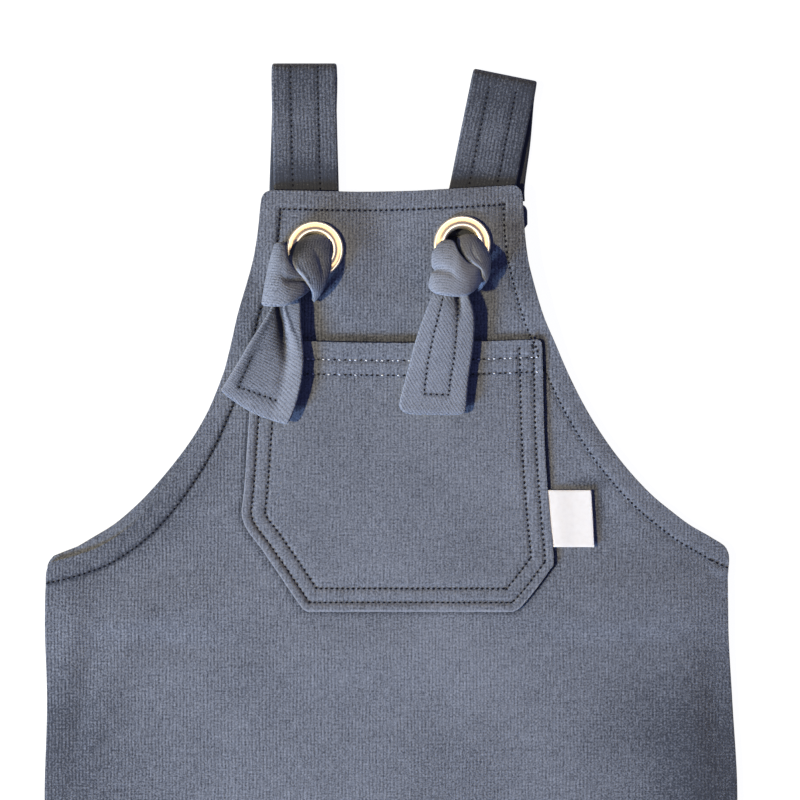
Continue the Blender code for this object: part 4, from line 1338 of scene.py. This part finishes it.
for side in ("left", "right"):
    run = stretch(STRAP_RUNS[side], 1.6)
    neck = stretch(NECKS[side], 0.7)
    turn = stretch(TURNS[side], 0.7)
    tail = stretch(TAILS[side], 0.8)
    bow = TAIL_BOW[side]
    bm = bmesh.new()
    for mesh in (
        loft(run, seams=RUN_ROWS, shades=RUN_SHADES[side]),
        loft(neck, open_edge=0.35, fine=KNOT_FINE, shades=NECK_SHADES[side]),
        loft(turn, fine=KNOT_FINE, shades=TURN_SHADES[side]),
        loft(tail, TAIL_ROWS[side], TAIL_SLANT[side], fine=KNOT_FINE, bow=bow, shades=TAIL_SHADES[side]),
    ):
        bm.from_mesh(mesh)
        bpy.data.meshes.remove(mesh)
    strap = piece("strap_" + side + "_tape", bm, strap_jersey, "jersey", "strap_" + side)
    tape_seams += [seam_on_tape(run, spots) for spots in RUN_ROWS]
    tape_seams += [seam_on_tape(tail, spots, bow) for spots in TAIL_ROWS[side]]
    lengths = [round(float(part.reach[-1]), 1) for part in (run, neck, turn, tail)]
    print("strap", side, len(strap.data.polygons), "faces, run, neck, turn and tail", lengths, "mm")

# %% [markdown]
# ## Eyelets
# A pressed ring is a turned part: a dome with a rolled outer rim, a shallow channel, an inner rim, and the
# barrel that goes down through the cloth and is flared behind the washer. One profile is spun all the way
# round with use_merge, which welds the seam. The washers of the frame already have their true form and only
# get a finish.

# %% Eyelets
CHANNEL_RADIUS = 10.3
CHANNEL_WIDTH = 1.15
CHANNEL_REFLECTION = 0.9
RING_PROFILE = (
    (12.28, 0.30), (12.46, 0.55), (12.5, 0.95), (12.38, 1.36), (12.1, 1.68), (11.75, 1.80),
    (11.4, 1.74), (11.05, 1.66), (10.6, 1.60), (10.1, 1.62), (9.6, 1.76), (9.1, 1.98),
    (8.6, 2.14), (8.15, 2.13), (7.74, 1.95), (7.36, 1.58), (7.12, 1.0), (7.02, 0.3),
    (7.0, -1.2), (7.0, -3.1), (8.3, -3.1), (8.3, -2.8), (7.5, -2.8), (7.5, 0.3),
)
RING_STEPS = 96
for (ex, edrop), side in zip(EYELET_CENTRES, ("left", "right")):
    seat = float(front_top(ex, edrop))
    centre = Vector((ex, BIB_TOP - edrop, 0.0)) * MM
    bm = bmesh.new()
    points = [bm.verts.new(centre + Vector((r, 0.0, seat + z)) * MM) for r, z in RING_PROFILE]
    outline = [bm.edges.new((a, b)) for a, b in zip(points, points[1:] + points[:1])]
    bmesh.ops.spin(bm, geom=points + outline, cent=centre, axis=(0.0, 0.0, 1.0), angle=2.0 * math.pi,
                   steps=RING_STEPS, use_merge=True)
    bmesh.ops.remove_doubles(bm, verts=bm.verts, dist=0.002 * MM)
    bmesh.ops.recalc_face_normals(bm, faces=bm.faces)
    tone = bm.verts.layers.float.new("painted_light")
    for vert in bm.verts:
        radius = (vert.co - centre).xy.length / MM
        # The channel between the rims is marked for a painted warm reflection.
        vert[tone] = CHANNEL_REFLECTION * bell(radius - CHANNEL_RADIUS, CHANNEL_WIDTH)
    ring = piece("ring_" + side, bm, ring_metal, "nickel", "eyelet_" + side)
    ring.data.set_sharp_from_angle(angle=math.radians(50))
    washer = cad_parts["washer_" + side]
    washer.data.materials.clear()
    washer.data.materials.append(washer_metal)
    print("ring", side, len(ring.data.polygons), "faces, seat at", round(seat, 2), "mm")

# %% [markdown]
# ## Thread
# About nine hundred stitches show. Each one is a short bead of thread that lies in its row's groove, made
# small and with few faces, because the eye sees the row and not the stitch. One sphere call makes a stitch:
# its matrix stretches it along the row, flattens it, and sets it on the cloth. The rows are the same lines
# that pressed the grooves.

# %% Stitches
THREAD_LIFT = 0.12
MOUTH_THREAD_LIFT = 0.10
THREAD_FLATNESS = 0.42
UNEVEN_COUNT = 0.618


def on_sheet(rows, form, lift):
    """Lines of sewing on a sheet, as points in the frame and their upward directions."""
    seams = []
    for row in rows:
        x, drop = resample(row, STITCH).T
        points = np.column_stack([x, BIB_TOP - drop, form(x, drop) + CLOTH + lift])
        seams.append((points, np.tile([0.0, 0.0, 1.0], (len(points), 1))))
    return seams


def spaced(seam):
    """The same line of sewing with one point a stitch."""
    reach = np.concatenate([[0.0], np.cumsum(np.linalg.norm(np.diff(seam[0], axis=0), axis=1))])
    at = np.linspace(0.0, reach[-1], max(2, int(round(reach[-1] / STITCH)) + 1))
    return tuple(np.column_stack([np.interp(at, reach, part[:, k]) for k in range(3)]) for part in seam)


def sew(name, seams, material, length, width):
    bm = bmesh.new()
    for points, ups, runs in seams:
        for place, run, up in zip(points, runs, ups):
            along = Vector(run).normalized()
            side = Vector(up).cross(along).normalized()
            turn = Matrix((along, side, along.cross(side))).transposed().to_4x4()
            size = Matrix.Diagonal((length / 2, width / 2, width * THREAD_FLATNESS, 1.0 / MM)) * MM
            bmesh.ops.create_uvsphere(bm, u_segments=6, v_segments=4, radius=1.0,
                                      matrix=Matrix.Translation(Vector(place) * MM) @ turn @ size)
    piece(name, bm, material, "jersey")
    print(name, sum(len(points) for points, _, _ in seams), "stitches")


def take(seams, shares, kept):
    """The stitches whose place in a steady, uneven count is below their row's share, or the others."""
    chosen = []
    for (points, ups), share in zip(seams, shares):
        count = (np.arange(len(points)) * UNEVEN_COUNT) % 1.0
        pick = (count < share) == kept
        chosen.append((points[pick], ups[pick], np.gradient(points, axis=0)[pick]))
    return chosen


def whole(seams):
    return take(seams, [1.0] * len(seams), True)


# Shares of the stitches on the pocket's two upper rows that are painted pale, as highlights where the thread
# catches the light.
HIGHLIGHT_SHARES = (0.62, 0.28)
bartack = [np.array([[61.4, 65.4], [62.6, 67.4], [63.9, 70.0], [64.5, 73.2]])]
front_seams = on_sheet(front_rows + leg_hem_rows, front_form, THREAD_LIFT)
pocket_seams = on_sheet(pocket_rows + bartack, pocket_form, THREAD_LIFT)
mouth_seams = on_sheet(mouth_rows, pocket_form, MOUTH_THREAD_LIFT)
sew("stitches_front", whole(front_seams), dark_thread, 1.35, 1.0)
sew("stitches_pocket", whole(pocket_seams), dark_thread, 1.35, 1.0)
sew("stitches_pocket_top", take(mouth_seams, HIGHLIGHT_SHARES, True), highlight_thread, 1.3, 0.68)
sew("stitches_pocket_mouth", take(mouth_seams, HIGHLIGHT_SHARES, False), dark_thread, 1.3, 0.95)
sew("stitches_straps", whole([spaced(s) for s in tape_seams]), dark_thread, 1.35, 1.05)

# %% [markdown]
# ## Floor and light
# The garment lies on a plain white surface by a window. A small warm lamp on the left is the sun, which
# gives the tails and knots their hard shadows to the right. A wider, cool lamp at the lower left stands
# nearer to the table and is the window: where only the sun reaches, the slate turns brown-grey, and where
# neither does, the dim blue sky leaves it navy. A pale card overhead shows only in the metal. The floor
# glows faintly, so that it stays white like a photographer's table.

# %% Floor
FLOOR_SIDE = 24.0
FLOOR_SINK = 0.02
PAPER_TONE = (0.12, 0.12, 0.12, 1.0)
PAPER_GLOW = 0.97
bm = bmesh.new()
bmesh.ops.create_grid(bm, x_segments=1, y_segments=1, size=FLOOR_SIDE / 2)
floor_mesh = bpy.data.meshes.new("floor")
bm.to_mesh(floor_mesh)
bm.free()
floor_mesh.transform(Matrix.Translation((0.0, 0.0, -FLOOR_SINK * MM)))
floor = bpy.data.objects.new("floor", floor_mesh)
bpy.context.scene.collection.objects.link(floor)
paper = Recipe("white table")
paper.surface(base_color=PAPER_TONE, roughness=0.9, emission_color=(1.0, 1.0, 1.0, 1.0),
              emission_strength=PAPER_GLOW, specular_ior_level=0.1)
floor_mesh.materials.append(paper.material)
print("floor", FLOOR_SIDE, "m")

# %% Lamps
AIM = Vector((0.0, 0.12, 0.0))


def lamp(name, azimuth, elevation, distance, size, watts, colour):
    """A square lamp. Azimuth is measured from +X towards +Y, in degrees."""
    data = bpy.data.lights.new(name, "AREA")
    data.energy = watts
    data.size = size
    data.color = colour
    obj = bpy.data.objects.new(name, data)
    bpy.context.scene.collection.objects.link(obj)
    a = math.radians(azimuth)
    e = math.radians(elevation)
    towards = Vector((math.cos(a) * math.cos(e), math.sin(a) * math.cos(e), math.sin(e)))
    obj.location = AIM + towards * distance
    obj.rotation_euler = (AIM - obj.location).to_track_quat("-Z", "Y").to_euler()
    obj.visible_camera = False
    return obj


SUN_TONE = (1.0, 0.83, 0.46)
WINDOW_TONE = (0.46, 0.67, 1.0)
CARD_TONE = (1.0, 0.93, 0.80)
SKY_TONE = (0.34, 0.40, 1.0, 1.0)
SKY_STRENGTH = 0.30
lamp("sun", 191.0, 45.0, 3.0, 0.16, 136.0, SUN_TONE)
lamp("window", 220.0, 20.0, 2.2, 0.50, 112.0, WINDOW_TONE)
card = lamp("reflector", 70.0, 82.0, 1.5, 1.1, 15.0, CARD_TONE)
card.visible_diffuse = False
world = bpy.data.worlds.new("even sky")
world.use_nodes = True
sky = world.node_tree.nodes["Background"]
sky.inputs["Color"].default_value = SKY_TONE
sky.inputs["Strength"].default_value = SKY_STRENGTH
bpy.context.scene.world = world
bpy.context.scene.view_settings.view_transform = "Standard"

# %% [markdown]
# ## Finish

# %% Finish
print("done")
